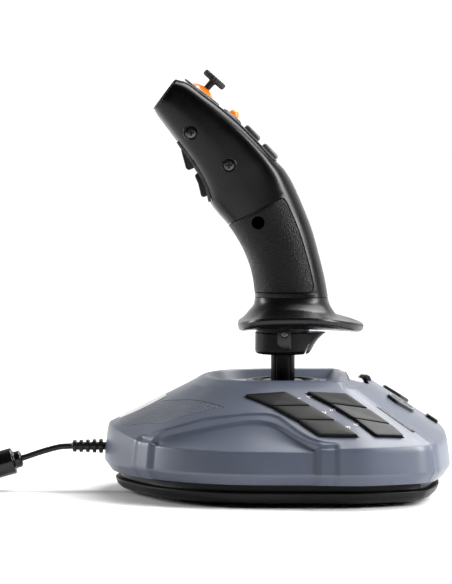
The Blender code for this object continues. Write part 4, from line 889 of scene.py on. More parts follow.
def surface_look(name, colour, roughness, metallic=0.0, coat=0.0, coat_roughness=0.15, second=None,
                 mottle=90.0, rough_spread=0.08, grain=None, edge=None, round_edges=0.0, specular=0.5):
    """Plastic or paint: two close tones, uneven gloss, fine grain, and paler convex edges, which are a
    painted edge highlight.
    """
    look = bpy.data.materials.new(name)
    look.use_nodes = True
    nodes, links = nodes_of(look)
    shader = nodes["Principled BSDF"]
    shader.inputs["Metallic"].default_value = metallic
    shader.inputs["Coat Weight"].default_value = coat
    shader.inputs["Coat Roughness"].default_value = coat_roughness
    shader.inputs["Specular IOR Level"].default_value = specular
    patches = noise(look, mottle, 4.0)
    second = second or tuple(c * 0.86 for c in colour)
    tone = mixed(look, remap(look, patches.outputs["Fac"], 0, 1), colour, second)
    # painted highlight: a paler tone on convex edges, found by pointiness and broken up by noise
    if edge:
        edge_highlight_tone, strength = edge
        point = nodes.new("ShaderNodeNewGeometry").outputs["Pointiness"]
        edge_highlight_breakup = remap(look, noise(look, 700, 3.0).outputs["Fac"], 0.2, 1.0, 0.4, 0.6)
        share = math_node(look, "MULTIPLY", remap(look, point, 0, strength, 0.53, 0.62), edge_highlight_breakup)
        tone = mixed(look, share, tone, edge_highlight_tone)
    links.new(tone, shader.inputs["Base Color"])
    smear = noise(look, 45, 5.0)
    links.new(remap(look, smear.outputs["Fac"], roughness - rough_spread, roughness + rough_spread),
              shader.inputs["Roughness"])
    normal = None
    if round_edges:
        bevel = nodes.new("ShaderNodeBevel")
        bevel.samples = 4
        bevel.inputs["Radius"].default_value = round_edges * MM
        normal = bevel.outputs["Normal"]
    for scale, depth, kind in grain or ():
        source = noise(look, scale, 2.0, kind=kind)
        height = source.outputs["Distance" if kind == "ShaderNodeTexVoronoi" else "Fac"]
        bump = nodes.new("ShaderNodeBump")
        bump.inputs["Distance"].default_value = depth * MM
        bump.inputs["Strength"].default_value = 1.0
        links.new(height, bump.inputs["Height"])
        if normal:
            links.new(normal, bump.inputs["Normal"])
        normal = bump.outputs["Normal"]
    if normal:
        links.new(normal, shader.inputs["Normal"])
    return look


NOISE, CELLS = "ShaderNodeTexNoise", "ShaderNodeTexVoronoi"
PAINT = (0.074, 0.087, 0.122)
PAINT_TOO = (0.070, 0.082, 0.115)


def make_looks():
    paint = surface_look("paint_blue_grey", PAINT, 0.40, 0.0, 0.2, 0.3, second=PAINT_TOO, mottle=60,
                         rough_spread=0.04, grain=((1500, 0.012, NOISE), (220, 0.02, NOISE)),
                         edge=((0.20, 0.23, 0.29), 0.3), round_edges=0.35)
    looks = {
        "paint": paint,
        "patch": weave_look(),
        "tray": surface_look("tray_black", (0.004, 0.004, 0.0045), 0.46, specular=0.2, mottle=120,
                             rough_spread=0.07, grain=((2600, 0.02, NOISE),), round_edges=0.4),
        "feet": surface_look("feet_rubber", (0.012, 0.012, 0.012), 0.85, grain=((1800, 0.06, CELLS),)),
        "key": surface_look("key_satin", (0.006, 0.006, 0.0065), 0.34, specular=0.2,
                            mottle=300, rough_spread=0.05, grain=((2400, 0.016, NOISE),)),
        "lens": surface_look("lamp_smoked", (0.035, 0.036, 0.042), 0.24, specular=0.2,
                             grain=((900, 0.01, NOISE),)),
        "pale": surface_look("plate_pale", (0.66, 0.66, 0.64), 0.44, mottle=200,
                             grain=((2200, 0.012, NOISE),), round_edges=0.25),
        "knob": surface_look("knob_gloss", (0.004, 0.004, 0.0045), 0.2, coat=0.3, coat_roughness=0.1,
                             grain=((1500, 0.008, NOISE),)),
        "shaft": surface_look("shaft_black", (0.001, 0.001, 0.001), 0.3, specular=0.1, mottle=300,
                              grain=((1800, 0.01, NOISE),)),
        "ring": surface_look("ring_black", (0.003, 0.003, 0.0035), 0.34, specular=0.2,
                             grain=((1600, 0.01, NOISE),), edge=((0.05, 0.05, 0.06), 0.4)),
        "grip": surface_look("grip_gloss", (0.001, 0.001, 0.0012), 0.27, specular=0.22,
                             mottle=150, rough_spread=0.05, grain=((3000, 0.006, NOISE),), round_edges=0.25),
        "pad": surface_look("pad_pebbled", (0.003, 0.003, 0.0034), 0.36, second=(0.001, 0.001, 0.0012),
                            mottle=750, rough_spread=0.12, specular=0.2,
                            grain=((1150, 0.30, CELLS), (2400, 0.05, NOISE))),
        "rest": surface_look("rest_soft_black", (0.003, 0.003, 0.0034), 0.30, specular=0.32, mottle=140,
                             rough_spread=0.06, grain=((2600, 0.008, NOISE),)),
        "control": surface_look("control_grey", (0.012, 0.012, 0.013), 0.36, coat=0.1, coat_roughness=0.3,
                                grain=((2300, 0.01, NOISE),), edge=((0.10, 0.10, 0.11), 0.5)),
        "thumb": surface_look("thumb_grey", (0.018, 0.018, 0.019), 0.38, coat=0.1, coat_roughness=0.3,
                              grain=((2300, 0.01, NOISE),), edge=((0.16, 0.16, 0.17), 0.5)),
        "cap": surface_look("cap_rubber", (0.010, 0.010, 0.010), 0.6, specular=0.4,
                            grain=((2500, 0.03, NOISE),), edge=((0.08, 0.08, 0.08), 0.5)),
        "orange": orange_look(),
        "steel": surface_look("steel_bright", (0.52, 0.52, 0.53), 0.3, 1.0, mottle=400,
                              grain=((3000, 0.006, NOISE),)),
        "zinc": surface_look("screw_dark_zinc", (0.07, 0.07, 0.073), 0.32, 1.0, mottle=500,
                             grain=((3000, 0.008, NOISE),), edge=((0.45, 0.45, 0.46), 0.7)),
        "board": surface_look("board_green", (0.012, 0.075, 0.03), 0.4,
                              second=(0.02, 0.12, 0.045), mottle=350, grain=((1600, 0.02, NOISE),)),
        "cable": surface_look("cable_vinyl", (0.006, 0.006, 0.0065), 0.36, specular=0.4, mottle=250,
                              grain=((1400, 0.02, NOISE),)),
        "boot": surface_look("boot_vinyl", (0.008, 0.008, 0.0085), 0.4, specular=0.4,
                             grain=((2000, 0.02, NOISE),)),
        "bead": surface_look("bead_gloss", (0.004, 0.004, 0.0045), 0.26, specular=0.4,
                             grain=((1700, 0.01, NOISE),)),
        "ink": surface_look("ink_white", (0.78, 0.79, 0.80), 0.5, grain=((2600, 0.004, NOISE),)),
        "strap": surface_look("strap_fabric", (0.02, 0.02, 0.02), 0.8, mottle=1200,
                              grain=((1600, 0.08, CELLS), (3000, 0.03, NOISE))),
        "rim": surface_look("rim_grey", (0.30, 0.30, 0.31), 0.34, grain=((2400, 0.008, NOISE),)),
        "rim_dark": surface_look("rim_dark", (0.0015, 0.0015, 0.002), 0.24, specular=0.35,
                                 grain=((2400, 0.008, NOISE),), edge=((0.06, 0.06, 0.065), 0.3)),
        "plate": surface_look("plate_black", (0.006, 0.006, 0.0065), 0.34, specular=0.4, mottle=150,
                              rough_spread=0.05, grain=((2600, 0.008, NOISE),),
                              edge=((0.08, 0.08, 0.085), 0.5), round_edges=0.2),
        "hub": surface_look("hub_black", (0.001, 0.001, 0.0012), 0.3, specular=0.12, mottle=150,
                            grain=((2200, 0.01, NOISE),), edge=((0.05, 0.05, 0.055), 0.6)),
        "line": surface_look("line_dark", (0.03, 0.032, 0.04), 0.6, grain=((2600, 0.004, NOISE),)),
    }
    return looks


def weave_look():
    """The base's paint over a fine raised weave of crossed diagonal ribs that fades out at its ends, with
    painted shade that darkens the colour between the ribs.
    """
    look = surface_look("paint_weave", PAINT, 0.40, 0.0, 0.2, 0.3, second=PAINT_TOO, mottle=60,
                        rough_spread=0.04)
    nodes, links = nodes_of(look)
    coordinates = nodes.new("ShaderNodeTexCoord").outputs["Object"]
    heights = []
    for angle in (58, -58):
        turn = nodes.new("ShaderNodeMapping")
        turn.inputs["Rotation"].default_value = (0, 0, math.radians(angle))
        links.new(coordinates, turn.inputs["Vector"])
        wave = nodes.new("ShaderNodeTexWave")
        wave.wave_type = "BANDS"
        wave.bands_direction = "X"
        wave.inputs["Scale"].default_value = 230.0
        links.new(turn.outputs["Vector"], wave.inputs["Vector"])
        heights.append(wave.outputs["Fac"])
    ribs = math_node(look, "MULTIPLY", heights[0], heights[1])
    axes = nodes.new("ShaderNodeSeparateXYZ")
    links.new(coordinates, axes.inputs["Vector"])
    fade = remap(look, axes.outputs["Y"], 1, 0.35, 0.070, 0.095)
    height = math_node(look, "MULTIPLY", ribs, fade)
    bump = nodes.new("ShaderNodeBump")
    bump.inputs["Distance"].default_value = 0.34 * MM
    links.new(height, bump.inputs["Height"])
    shader = nodes["Principled BSDF"]
    links.new(bump.outputs["Normal"], shader.inputs["Normal"])
    old = shader.inputs["Base Color"].links[0].from_socket
    # painted shade: the colour darkens towards a dark blue-grey in the low parts between the ribs
    dark = mixed(look, remap(look, height, 0.5, 0, 0.0, 0.5), old, (0.03, 0.036, 0.052))
    links.new(dark, shader.inputs["Base Color"])
    return look


def orange_look():
    """Clear orange plastic with a painted glow: a weak emission stands in for the light that comes through
    it from behind.
    """
    look = surface_look("orange_clear_painted_glow", (0.95, 0.15, 0.008), 0.25, coat=0.4, coat_roughness=0.1,
                        second=(0.95, 0.19, 0.012), mottle=120, grain=((500, 0.002, NOISE),))
    shader = look.node_tree.nodes["Principled BSDF"]
    # painted glow: this emission stands in for backlight through the clear plastic; the part holds no lamp
    shader.inputs["Emission Color"].default_value = (1.0, 0.19, 0.012, 1)
    shader.inputs["Emission Strength"].default_value = 0.42
    return look


# ---------------------------------------------------------------- camera, floor and light

CAMERA_PLACE = (-1900, 34.2, 228.7)
CAMERA_DOWN = 3.29  # degrees below level
CAMERA_LENS = 195.2


def stage_camera():
    """A long lens on the left side, level with the top of the grip and pointed slightly down."""
    data = bpy.data.cameras.new("view")
    data.sensor_width = 36.0
    data.sensor_fit = "AUTO"
    data.lens = CAMERA_LENS
    data.clip_end = 20
    camera = bpy.data.objects.new("view", data)
    camera.location = to_frame(CAMERA_PLACE)
    camera.rotation_euler = (math.radians(90 - CAMERA_DOWN), 0, math.radians(-90))
    bpy.context.scene.collection.objects.link(camera)
    bpy.context.scene.camera = camera


FLOOR_HALF = 30.0
FLOOR_WHITE = (0.93, 0.93, 0.93)


def stage_floor():
    """A pale floor, large enough that its far edge meets the sky's brightness."""
    mesh = bpy.data.meshes.new("floor")
    size = FLOOR_HALF
    mesh.from_pydata([(-size, -size, 0), (size, -size, 0), (size, size, 0), (-size, size, 0)], [],
                     [(0, 1, 2, 3)])
    floor = bpy.data.objects.new("floor", mesh)
    floor.location = (0, 0, -0.0002)
    look = surface_look("floor_white", FLOOR_WHITE, 0.75, second=tuple(c * 0.995 for c in FLOOR_WHITE),
                        mottle=3, rough_spread=0.02, grain=((400, 0.02, NOISE),))
    mesh.materials.append(look)
    bpy.context.scene.collection.objects.link(floor)


def lamp(name, place, target, size, power):
    """A rectangular softbox at the place, aimed at the target."""
    data = bpy.data.lights.new(name, "AREA")
    data.shape = "RECTANGLE"
    data.size, data.size_y = size
    data.energy = power
    made = bpy.data.objects.new(name, data)
    made.location = place
    aim = Vector(target) - Vector(place)
    made.rotation_euler = aim.to_track_quat("-Z", "Y").to_euler()
    bpy.context.scene.collection.objects.link(made)


def tone_between(look, factor, first, second):
    """A number between first and second; each is a number or a socket."""
    nodes, links = nodes_of(look)
    made = nodes.new("ShaderNodeMix")
    links.new(factor, made.inputs["Factor"])
    for socket, value in ((made.inputs["A"], first), (made.inputs["B"], second)):
        if isinstance(value, (int, float)):
            socket.default_value = value
        else:
            links.new(value, socket)
    return made.outputs["Result"]


def stage_lights():
    """A sky that is bright behind the object and dark behind the camera, a wide sun and three softboxes."""
    scene = bpy.context.scene
    scene.view_settings.view_transform = "Standard"
    scene.view_settings.look = "None"
    world = bpy.data.worlds.new("studio")
    scene.world = world
    world.use_nodes = True
    nodes, links = world.node_tree.nodes, world.node_tree.links
    background = nodes["Background"]
    direction = nodes.new("ShaderNodeTexCoord").outputs["Generated"]
    axes = nodes.new("ShaderNodeSeparateXYZ")
    links.new(direction, axes.inputs["Vector"])
    behind = tone_between(world, remap(world, axes.outputs["Z"], 0, 1, 0.15, 0.6), WORLD_BRIGHT, WORLD_TOP)
    tone = tone_between(world, remap(world, axes.outputs["X"], 0, 1, -0.15, 0.45), WORLD_DARK, behind)
    background.inputs["Color"].default_value = (1, 1, 1, 1)
    links.new(tone, background.inputs["Strength"])
    for row in LAMPS:
        lamp(*row)
    data = bpy.data.lights.new("sky", "SUN")
    data.energy = SKY_POWER
    data.angle = math.radians(SKY_ANGLE)
    sky = bpy.data.objects.new("sky", data)
    sky.rotation_euler = Vector(SKY_WAY).to_track_quat("-Z", "Y").to_euler()
    scene.collection.objects.link(sky)


WORLD_DARK = 0.01
WORLD_TOP = 0.45
WORLD_BRIGHT = 1.25
SKY_POWER = 3.25
SKY_ANGLE = 45
SKY_WAY = (-0.35, 0.5, -0.9)
LAMPS = (
    ("high_box", (0.3, -0.5, 1.7), (0, -0.03, 0.05), (1.3, 1.3), 13.0),
    ("rear_box", (-0.45, -1.25, 0.75), (0, 0, 0.14), (0.4, 0.9), 30.0),
    ("front_rim", (0.2, 1.3, 0.5), (0, 0, 0.16), (0.3, 0.6), 11.0),
)


# ---------------------------------------------------------------- cord

COLUMN_STEP = 3.66
ROW_STEP = 3.64
TURN_R = (24.2, 24.2 - COLUMN_STEP, 24.2 - 2 * COLUMN_STEP)
TURN_CENTRE = (-24.2, 240.0)
TURN_POINTS = 48
END_ROUTE = ((-52.15, 236, 1.85), (-52.1, 229, 2.3), (-51.7, 221, 3.6), (-51.5, 215, 4.15),
             (-51.5, 208, 4.2))


def eased(f):
    f = max(0.0, min(1.0, f))
    return f * f * (3 - 2 * f)


def coil_points():
    """Twelve turns in four rows of three, then half a turn down round the outside."""
    turns = []
    for row in range(4):
        radii = TURN_R if row % 2 == 0 else TURN_R[::-1]
        turns += [(radius, CORD_R + row * ROW_STEP) for radius in radii]
    points = []
    for k, (radius, height) in enumerate(turns):
        last = k == len(turns) - 1
        next_radius, next_height = (radius, height) if last else turns[k + 1]
        for n in range(TURN_POINTS):
            share = n / TURN_POINTS
            zone = (share - 0.75) / 0.25
            r = radius + (next_radius - radius) * eased(zone / 0.55)
            z = height + (next_height - height) * eased((zone - 0.45) / 0.55)
            points.append((share * 360, r, z))
    radius, height = turns[-1]
    for n in range(TURN_POINTS // 2 + 1):
        share = n / (TURN_POINTS // 2)
        points.append((share * 180, radius + (COLUMN_STEP + 0.06) * eased(share / 0.3),
                       height + (CORD_R + 0.05 - height) * eased((share - 0.18) / 0.8)))
    x, y = TURN_CENTRE
    return [Vector((x + r * math.cos(math.radians(a)), y + r * math.sin(math.radians(a)), z))
            for a, r, z in points]


def cord_points():
    tilt = math.radians(BEAD_TILT)
    start = Vector(BEAD_START)
    through = [start + Vector((0, math.cos(tilt), -math.sin(tilt))) * d for d in (6, 22, 37, 43.5)]
    lead = [Vector(p) for p in (CORD_EXIT, (0, 113, 26.6), (0, 120, 26.6)) + LEAD_ROUTE]
    tail = [Vector(p) for p in ((0, 206, 4.9), (0, 214, 2.5), (0, 224, 1.85), (0, 232, 1.8))]
    coil = coil_points()
    first = lead + through + tail + [coil[0]]
    line = [catmull(first, t / 6) for t in range(6 * (len(first) - 1))]
    last = [coil[-2], coil[-1]] + [Vector(p) for p in END_ROUTE]
    end = [catmull(last, 1 + t / 6) for t in range(1, 6 * (len(last) - 2) + 1)]
    return line + coil + end


def cord_curve(looks):
    points = [to_frame(p) for p in cord_points()]
    curve = bpy.data.curves.new("cable", "CURVE")
    curve.dimensions = "3D"
    curve.bevel_depth = CORD_R * MM
    curve.bevel_resolution = 5
    curve.use_fill_caps = True
    spline = curve.splines.new("POLY")
    spline.points.add(len(points) - 1)
    for point, place in zip(spline.points, points):
        point.co = (*place, 1)
    spline.use_smooth = True
    curve.materials.append(looks["cable"])
    cable = bpy.data.objects.new("cable", curve)
    PIECES.objects.link(cable)
    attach(cable, "base")
    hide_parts("cord_lead", "cord_tail", "cord_coil")
    return cable


def squared_ring(place, half_x, half_z, square=5.0, count=32):
    """A rounded rectangle in the X-Z plane."""
    ring = []
    for k in range(count):
        angle = 2 * math.pi * k / count
        c, s = math.cos(angle), math.sin(angle)
        ring.append(Vector((place[0] + half_x * math.copysign(abs(c) ** (2 / square), c), place[1],
                            place[2] + half_z * math.copysign(abs(s) ** (2 / square), s))))
    return ring


def usb_parts(looks):
    x, y, z = PLUG_PLACE
    rows = [(2.45, 2.45, 0, 2), (2.6, 2.6, 0.4, 2)]
    for k in range(4):
        back = 1.4 + k * 2.1
        rows += [(3.1 + k * 0.05, 3.0, back, 2), (3.1 + k * 0.05, 3.0, back + 1.1, 2),
                 (2.6, 2.6, back + 1.25, 2), (2.6, 2.6, back + 1.95, 2)]
    rows += [(4.6, 3.4, 10.2, 2.6), (6.6, 3.85, 11.6, 3.4), (7.7, 4.05, 13.4, 4), (8, 4.1, 15.5, 4.5),
             (8, 4.1, 26.6, 4.5), (7.85, 4.0, 27.6, 4.5), (7.4, 3.7, 28.3, 4.5), (6.9, 3.3, 28.6, 4.5)]
    handle = capped([squared_ring((x, y - back, z), hx, hz, n) for hx, hz, back, n in rows])
    handle = solid("usb_handle", handle)
    thumbs = []
    for k in range(4):
        low = (x - 3.6, y - 18.2 - 2 * k, z + 3.75)
        thumbs.append(box("groove", PIECES, low, (x + 3.6, low[1] + 0.8, z + 6)))
    carve(handle, thumbs)
    piece(handle, "base", looks["cable"], ["usb_plug"])
    shell = capped([squared_ring((x, y - back, z), 6 - cut_in, 2.3 - cut_in, 14, 40)
                    for back, cut_in in ((28.0, 0), (39.6, 0), (40, 0.25))])
    shell = solid("usb_shell", shell)
    tools = [box("t", PIECES, (x - 5.6, y - 42, z - 1.9), (x + 5.6, y - 30, z + 1.9))]
    for side in (-1, 1):
        for low, high in ((z + 1, z + 4), (z - 4, z - 1)):
            corner_x = x + side * 2.6
            tools.append(box("t", PIECES, (corner_x - 1, y - 36, low), (corner_x + 1, y - 33, high)))
    carve(shell, tools[:1])
    carve(shell, tools[1:])
    piece(shell, "base", looks["steel"])
    tongue = solid("usb_tongue", capped([squared_ring((x, y - back, z - 0.75), 5.4, 0.85, 14, 24)
                                         for back in (29.5, 39.2)]))
    piece(tongue, "base", looks["boot"])
    return [handle, shell, tongue]


def coil_tie(looks):
    """A fabric strap round the turns, on the side away from the free end."""
    inner, outer = TURN_R[2] - CORD_R - 0.2, TURN_R[0] + CORD_R + 0.2
    top = 2 * CORD_R + 3 * ROW_STEP + 0.3
    corners = [Vector((inner, 0, 0.0)), Vector((outer, 0, 0.0)), Vector((outer, 0, top)),
               Vector((inner, 0, top))]
    outline = rounded_outline(corners, 3.0, 6)
    thick = inset_outline(outline, -0.9)
    for line in (outline, thick):
        for p in line:
            p.z = max(p.z, 0.15 if line is thick else 0.7)
    bm = bmesh.new()
    rings = []
    for line, half in ((thick, 4.0), (outline, 4.0), (outline, -4.0), (thick, -4.0)):
        rings.append([p + Vector((0, half, 0)) for p in line])
    loft(bm, rings, closed_stack=True)
    angle = math.radians(248)
    obj = solid("coil_tie", bm, (*TURN_CENTRE, 0), Matrix.Rotation(angle, 3, "Z"))
    rounded_edges(obj, 0.25)
    return piece(obj, "base", looks["strap"])


def strain_relief(looks):
    """Five ribs on a slim sleeve."""
    y0 = CORD_EXIT[1]
    points = [(CORD_R + 0.05, RELIEF_END_Y + 0.6 - y0)]
    for k, middle in enumerate(list(RELIEF_RIBS)[::-1]):
        radius = 3.6 + 0.17 * k
        points += [(2.45, middle + 1.2 - y0), (radius, middle + 1.1 - y0),
                   (radius + 0.05, middle - 1.1 - y0), (2.45, middle - 1.2 - y0)]
    points += [(2.45, -6.0), (CORD_R + 0.05, -6.0)]
    profile = soft_profile(points, 0.35, 2)
    bm = lathe(profile, 40)
    obj = solid("relief", bm, CORD_EXIT, along_y())
    piece(obj, "base", looks["boot"], ["strain_relief"])
    return obj


def ferrite_bead(looks):
    profile = soft_profile(BEAD_SECTION, 0.9, 4)
    bm = lathe(profile, 56)
    obj = solid("bead", bm, BEAD_START, along_y(BEAD_TILT))
    return piece(obj, "base", looks["bead"], ["ferrite_bead"])


def build_cord(looks):
    cable = cord_curve(looks)
    strain_relief(looks)
    extras = [ferrite_bead(looks), coil_tie(looks)] + usb_parts(looks)


# ---------------------------------------------------------------- base

def key_solid(name, outline, normal, proud=BUTTON_PROUD, corner=1.7, crown=0.22, edge=0.45):
    """A key with rounded corners, a soft edge and a slightly crowned top."""
    line = rounded_outline(outline, corner, 4)
    middle = sum(line, Vector()) / len(line)
    rings = [[p - normal * BUTTON_SUNK for p in line], [p + normal * (proud - edge) for p in line]]
    for share in (0.35, 0.7, 1.0):
        inset = edge * (1 - math.cos(share * math.pi / 2))
        height = proud - edge + edge * math.sin(share * math.pi / 2)
        rings.append([p + normal * height for p in inset_outline(line, inset)])
    base = inset_outline(line, edge)
    for share in (0.25, 0.5, 0.75):
        height = normal * (proud + crown * (1 - (1 - share) ** 2))
        rings.append([p.lerp(middle, share) + height for p in base])
    return solid(name, capped(rings))


def plane_well(outline, normal, corner=1.0, deep=9.0):
    wide = rounded_outline(inset_outline(outline, -GAP - 0.12), corner + 0.3, 4)
    return prism("tool", PIECES, [p - normal * deep for p in wide], normal * (deep + 6))


def strip_keys(side, name, strip, surface, looks):
    rows = [[surface.drop(side * x, y)[0] for x, y in row] for row in strip]
    corners = [rows[0][0], rows[0][1], rows[3][1], rows[3][0]]
    _, normal = fitted_plane(corners)
    edge = [row[0] for row in rows] + [row[1] for row in reversed(rows)]
    for k in range(3):
        upper, lower = rows[k], rows[k + 1]
        down = (lower[0] + lower[1] - upper[0] - upper[1]).normalized() * BUTTON_SEAM / 2
        outline = [upper[0] + down * (k > 0), upper[1] + down * (k > 0),
                   lower[1] - down * (k < 2), lower[0] - down * (k < 2)]
        key = f"{name}_{k + 1}"
        piece(key_solid("key_" + key, outline, normal), key, looks["key"], [key])
    wide = rounded_outline(inset_outline(edge, -GAP - 0.12), 1.2, 4)
    return prism("tool", PIECES, [p - normal * 9 for p in wide], normal * 15)


def hex_keys(surface, looks):
    """Two long hexagonal keys, each with a raised border and a raised plain mark."""
    wells = []
    for side, word in ((-1, "left"), (1, "right")):
        outline = [surface.drop(side * x, y)[0] for x, y in HEX_BUTTON]
        middle, normal = fitted_plane(outline)
        flat = [p - normal * (p - middle).dot(normal) for p in outline]
        body = "hex_button_" + word
        wells.append(plane_well(flat, normal, 1.4))
        key = key_solid("key_" + body, flat, normal, corner=1.6, crown=0.05)
        piece(key, body, looks["control"], [body])
        ring_out = rounded_outline(inset_outline(flat, 0.5), 1.4, 4)
        ring_in = rounded_outline(inset_outline(flat, 1.35), 1.1, 4)
        bm = bmesh.new()
        loft(bm, [[p + normal * h for p in line] for line, h in
                  ((ring_out, BUTTON_PROUD - 0.2), (ring_out, BUTTON_PROUD + 0.22),
                   (ring_in, BUTTON_PROUD + 0.22), (ring_in, BUTTON_PROUD - 0.2))], closed_stack=True)
        piece(solid("border_" + body, bm), body, looks["rim"])
        along = (flat[1] + flat[0] - flat[3] - flat[4]).normalized()
        across = normal.cross(along).normalized()
        marks = []
        for reach, tip in ((-3.6, -1), (3.6, 1)):
            arm = [middle + along * (reach + tip * 1.0), middle + along * (reach - tip * 0.8) + across * 2.2,
                   middle + along * (reach - tip * 1.7) + across * 2.2, middle + along * (reach + tip * 0.1),
                   middle + along * (reach - tip * 1.7) - across * 2.2,
                   middle + along * (reach - tip * 0.8) - across * 2.2]
            marks.append(prism("mark", PIECES, [p + normal * (BUTTON_PROUD - 0.1) for p in arm],
                               normal * 0.32))
        dot = [middle + along * 1.1 * math.cos(a * math.pi / 8) + across * 1.1 * math.sin(a * math.pi / 8)
               + normal * (BUTTON_PROUD - 0.1) for a in range(16)]
        marks.append(prism("mark", PIECES, dot, normal * 0.32))
        piece(joined("marks_" + body, marks), body, looks["rim"])
    return wells


def joined(name, objects):
    bm = bmesh.new()
    for obj in objects:
        bm.from_mesh(obj.data)
        bpy.data.objects.remove(obj, do_unlink=True)
    return mesh_object(name, bm, PIECES)


def throttle_parts(surface, looks):
    front, _ = surface.drop(0, PLATE_Y[0])
    back, _ = surface.drop(0, PLATE_Y[1])
    up = Vector((1, 0, 0)).cross(back - front).normalized()
    up = up if up.z > 0 else -up
    corners = [Vector((x, p.y, p.z)) for x, p in
               ((-PLATE_HALF, front), (PLATE_HALF, front), (PLATE_HALF - 4, back), (-PLATE_HALF + 4, back))]
    line = rounded_outline(corners, 1.2, 4)
    rings = [[p - up * 1.1 for p in line], [p + up * 0.12 for p in line],
             [p + up * 0.3 for p in inset_outline(line, 0.2)]]
    piece(solid("plate_throttle", capped(rings)), "base", looks["pale"], ["throttle_plate"])
    ticks = []
    across = (back - front).normalized()
    for k in range(-5, 6):
        x = k * THROTTLE_TRAVEL / 5
        long = 2.6 if k in (-5, 0, 5) else 1.5
        start = back - across * (0.8 + long) + Vector((x - 0.25, 0, 0)) + up * 0.2
        outline = [start, start + Vector((0.5, 0, 0)), start + Vector((0.5, 0, 0)) + across * long,
                   start + across * long]
        ticks.append(prism("tick", PIECES, outline, up * 0.13))
    piece(joined("ticks_throttle", ticks), "base", looks["line"])
    knob_z = surface.drop(0, THROTTLE_Y)[0].z
    flat = [Vector((-KNOB_HALF, THROTTLE_Y - y, knob_z + (z * 0.9 - 0.7 if z > 0 else z)))
            for y, z in KNOB]
    knob = prism("knob_throttle", PIECES, flat, (2 * KNOB_HALF, 0, 0))
    rounded_edges(knob, 0.5, 4, 30)
    ridges = []
    for k in (-1, 0, 1):
        place = (THROTTLE_Y - 0.2 - k * 1.4, knob_z + 3.2 - 0.15 * k)
        ridges.append(rod("tool", PIECES, 0.5, (-6, *place), (6, *place), sides=16))
    carve(knob, ridges)
    piece(knob, "throttle", looks["knob"], ["throttle_lever"])
    reach = THROTTLE_TRAVEL + 4.5
    pocket = rounded_outline(inset_outline(corners, -GAP), 1.3, 4)
    return [prism("tool", PIECES, [p - up * 1.4 for p in pocket], up * 8),
            box("tool", PIECES, (-reach, THROTTLE_Y - 1.3, 54.0), (reach, THROTTLE_Y + 1.3, knob_z + 10))]


def lamp_strips(surface, looks):
    grooves = []
    for side, word in ((-1, "left"), (1, "right")):
        ends = [surface.drop(side * x, y) for x, y in LIGHT_STRIP]
        up = (ends[0][1] + ends[1][1]).normalized()
        along = (ends[1][0] - ends[0][0]).normalized()
        across = along.cross(up).normalized() * 1.1
        a, b = ends[0][0], ends[1][0]
        outline = [a - across + along * 2.5, a + across, b + across, b - across]
        wide = rounded_outline(inset_outline(outline, -GAP), 0.5, 3)
        grooves.append(prism("tool", PIECES, [p - up * 1.5 for p in wide], up * 6))
        line = rounded_outline(outline, 0.5, 4)
        rings = [[p - up * 1.2 for p in line], line, [p + up * 0.2 for p in inset_outline(line, 0.25)]]
        strip = solid("window_" + word, capped(rings))
        piece(strip, "base", looks["lens"], ["light_strip_" + word])
        cap = [b - along * 2.0 + across * 0.8, b - along * 0.5 + across * 0.8,
               b - along * 0.5 - across * 0.8, b - along * 2.0 - across * 0.8]
        cap = rounded_outline(cap, 0.3, 3)
        rings = [[p + up * 0.05 for p in cap], [p + up * 0.34 for p in cap]]
        end = solid("window_end_" + word, capped(rings))
        piece(end, "base", looks["line"])
    return grooves


def draped(name, bm, surface, low=-0.25, high=0.07):
    """Lays a flat mesh of points (x, y, 0 or 1) on the cover: 0 goes just under the surface, 1 just over."""
    for vert in bm.verts:
        place, normal = surface.drop(vert.co.x, vert.co.y)
        vert.co = place + normal * (high if vert.co.z > 0.5 else low)
    return mesh_object(name, bm, PIECES)


def slab_between(first, second, columns, rows):
    """A flat two-sided grid between two curves, as points (x, y, 0 or 1)."""
    bm = bmesh.new()

    def line(points, share):
        return catmull([Vector((*p, 0)) for p in points], share * (len(points) - 1))
    layers = []
    for level in (0, 1):
        layer = []
        for c in range(columns + 1):
            a, b = line(first, c / columns), line(second, c / columns)
            layer.append([bm.verts.new((*a.lerp(b, r / rows).xy, level)) for r in range(rows + 1)])
        layers.append(layer)
    for layer in layers:
        for c in range(columns):
            for r in range(rows):
                bm.faces.new((layer[c][r], layer[c + 1][r], layer[c + 1][r + 1], layer[c][r + 1]))
    low, high = layers
    border = ([(c, 0) for c in range(columns)] + [(columns, r) for r in range(rows)]
              + [(c, rows) for c in range(columns, 0, -1)] + [(0, r) for r in range(rows, 0, -1)])
    for (c, r), (d, s) in zip(border, border[1:] + border[:1]):
        bm.faces.new((low[c][r], low[d][s], high[d][s], high[c][r]))
    return bm


WEAVE_UPPER = ((19.9, 72.4), (25.8, 67.9), (33.6, 62), (41, 55.9), (47.4, 50.8), (53.3, 45.3), (62.4, 35.4))
WEAVE_LOWER = ((16.6, 97.4), (27.6, 95.2), (39.8, 81.8), (51.6, 71.6), (56.1, 61), (59.7, 48), (62.9, 34.8))


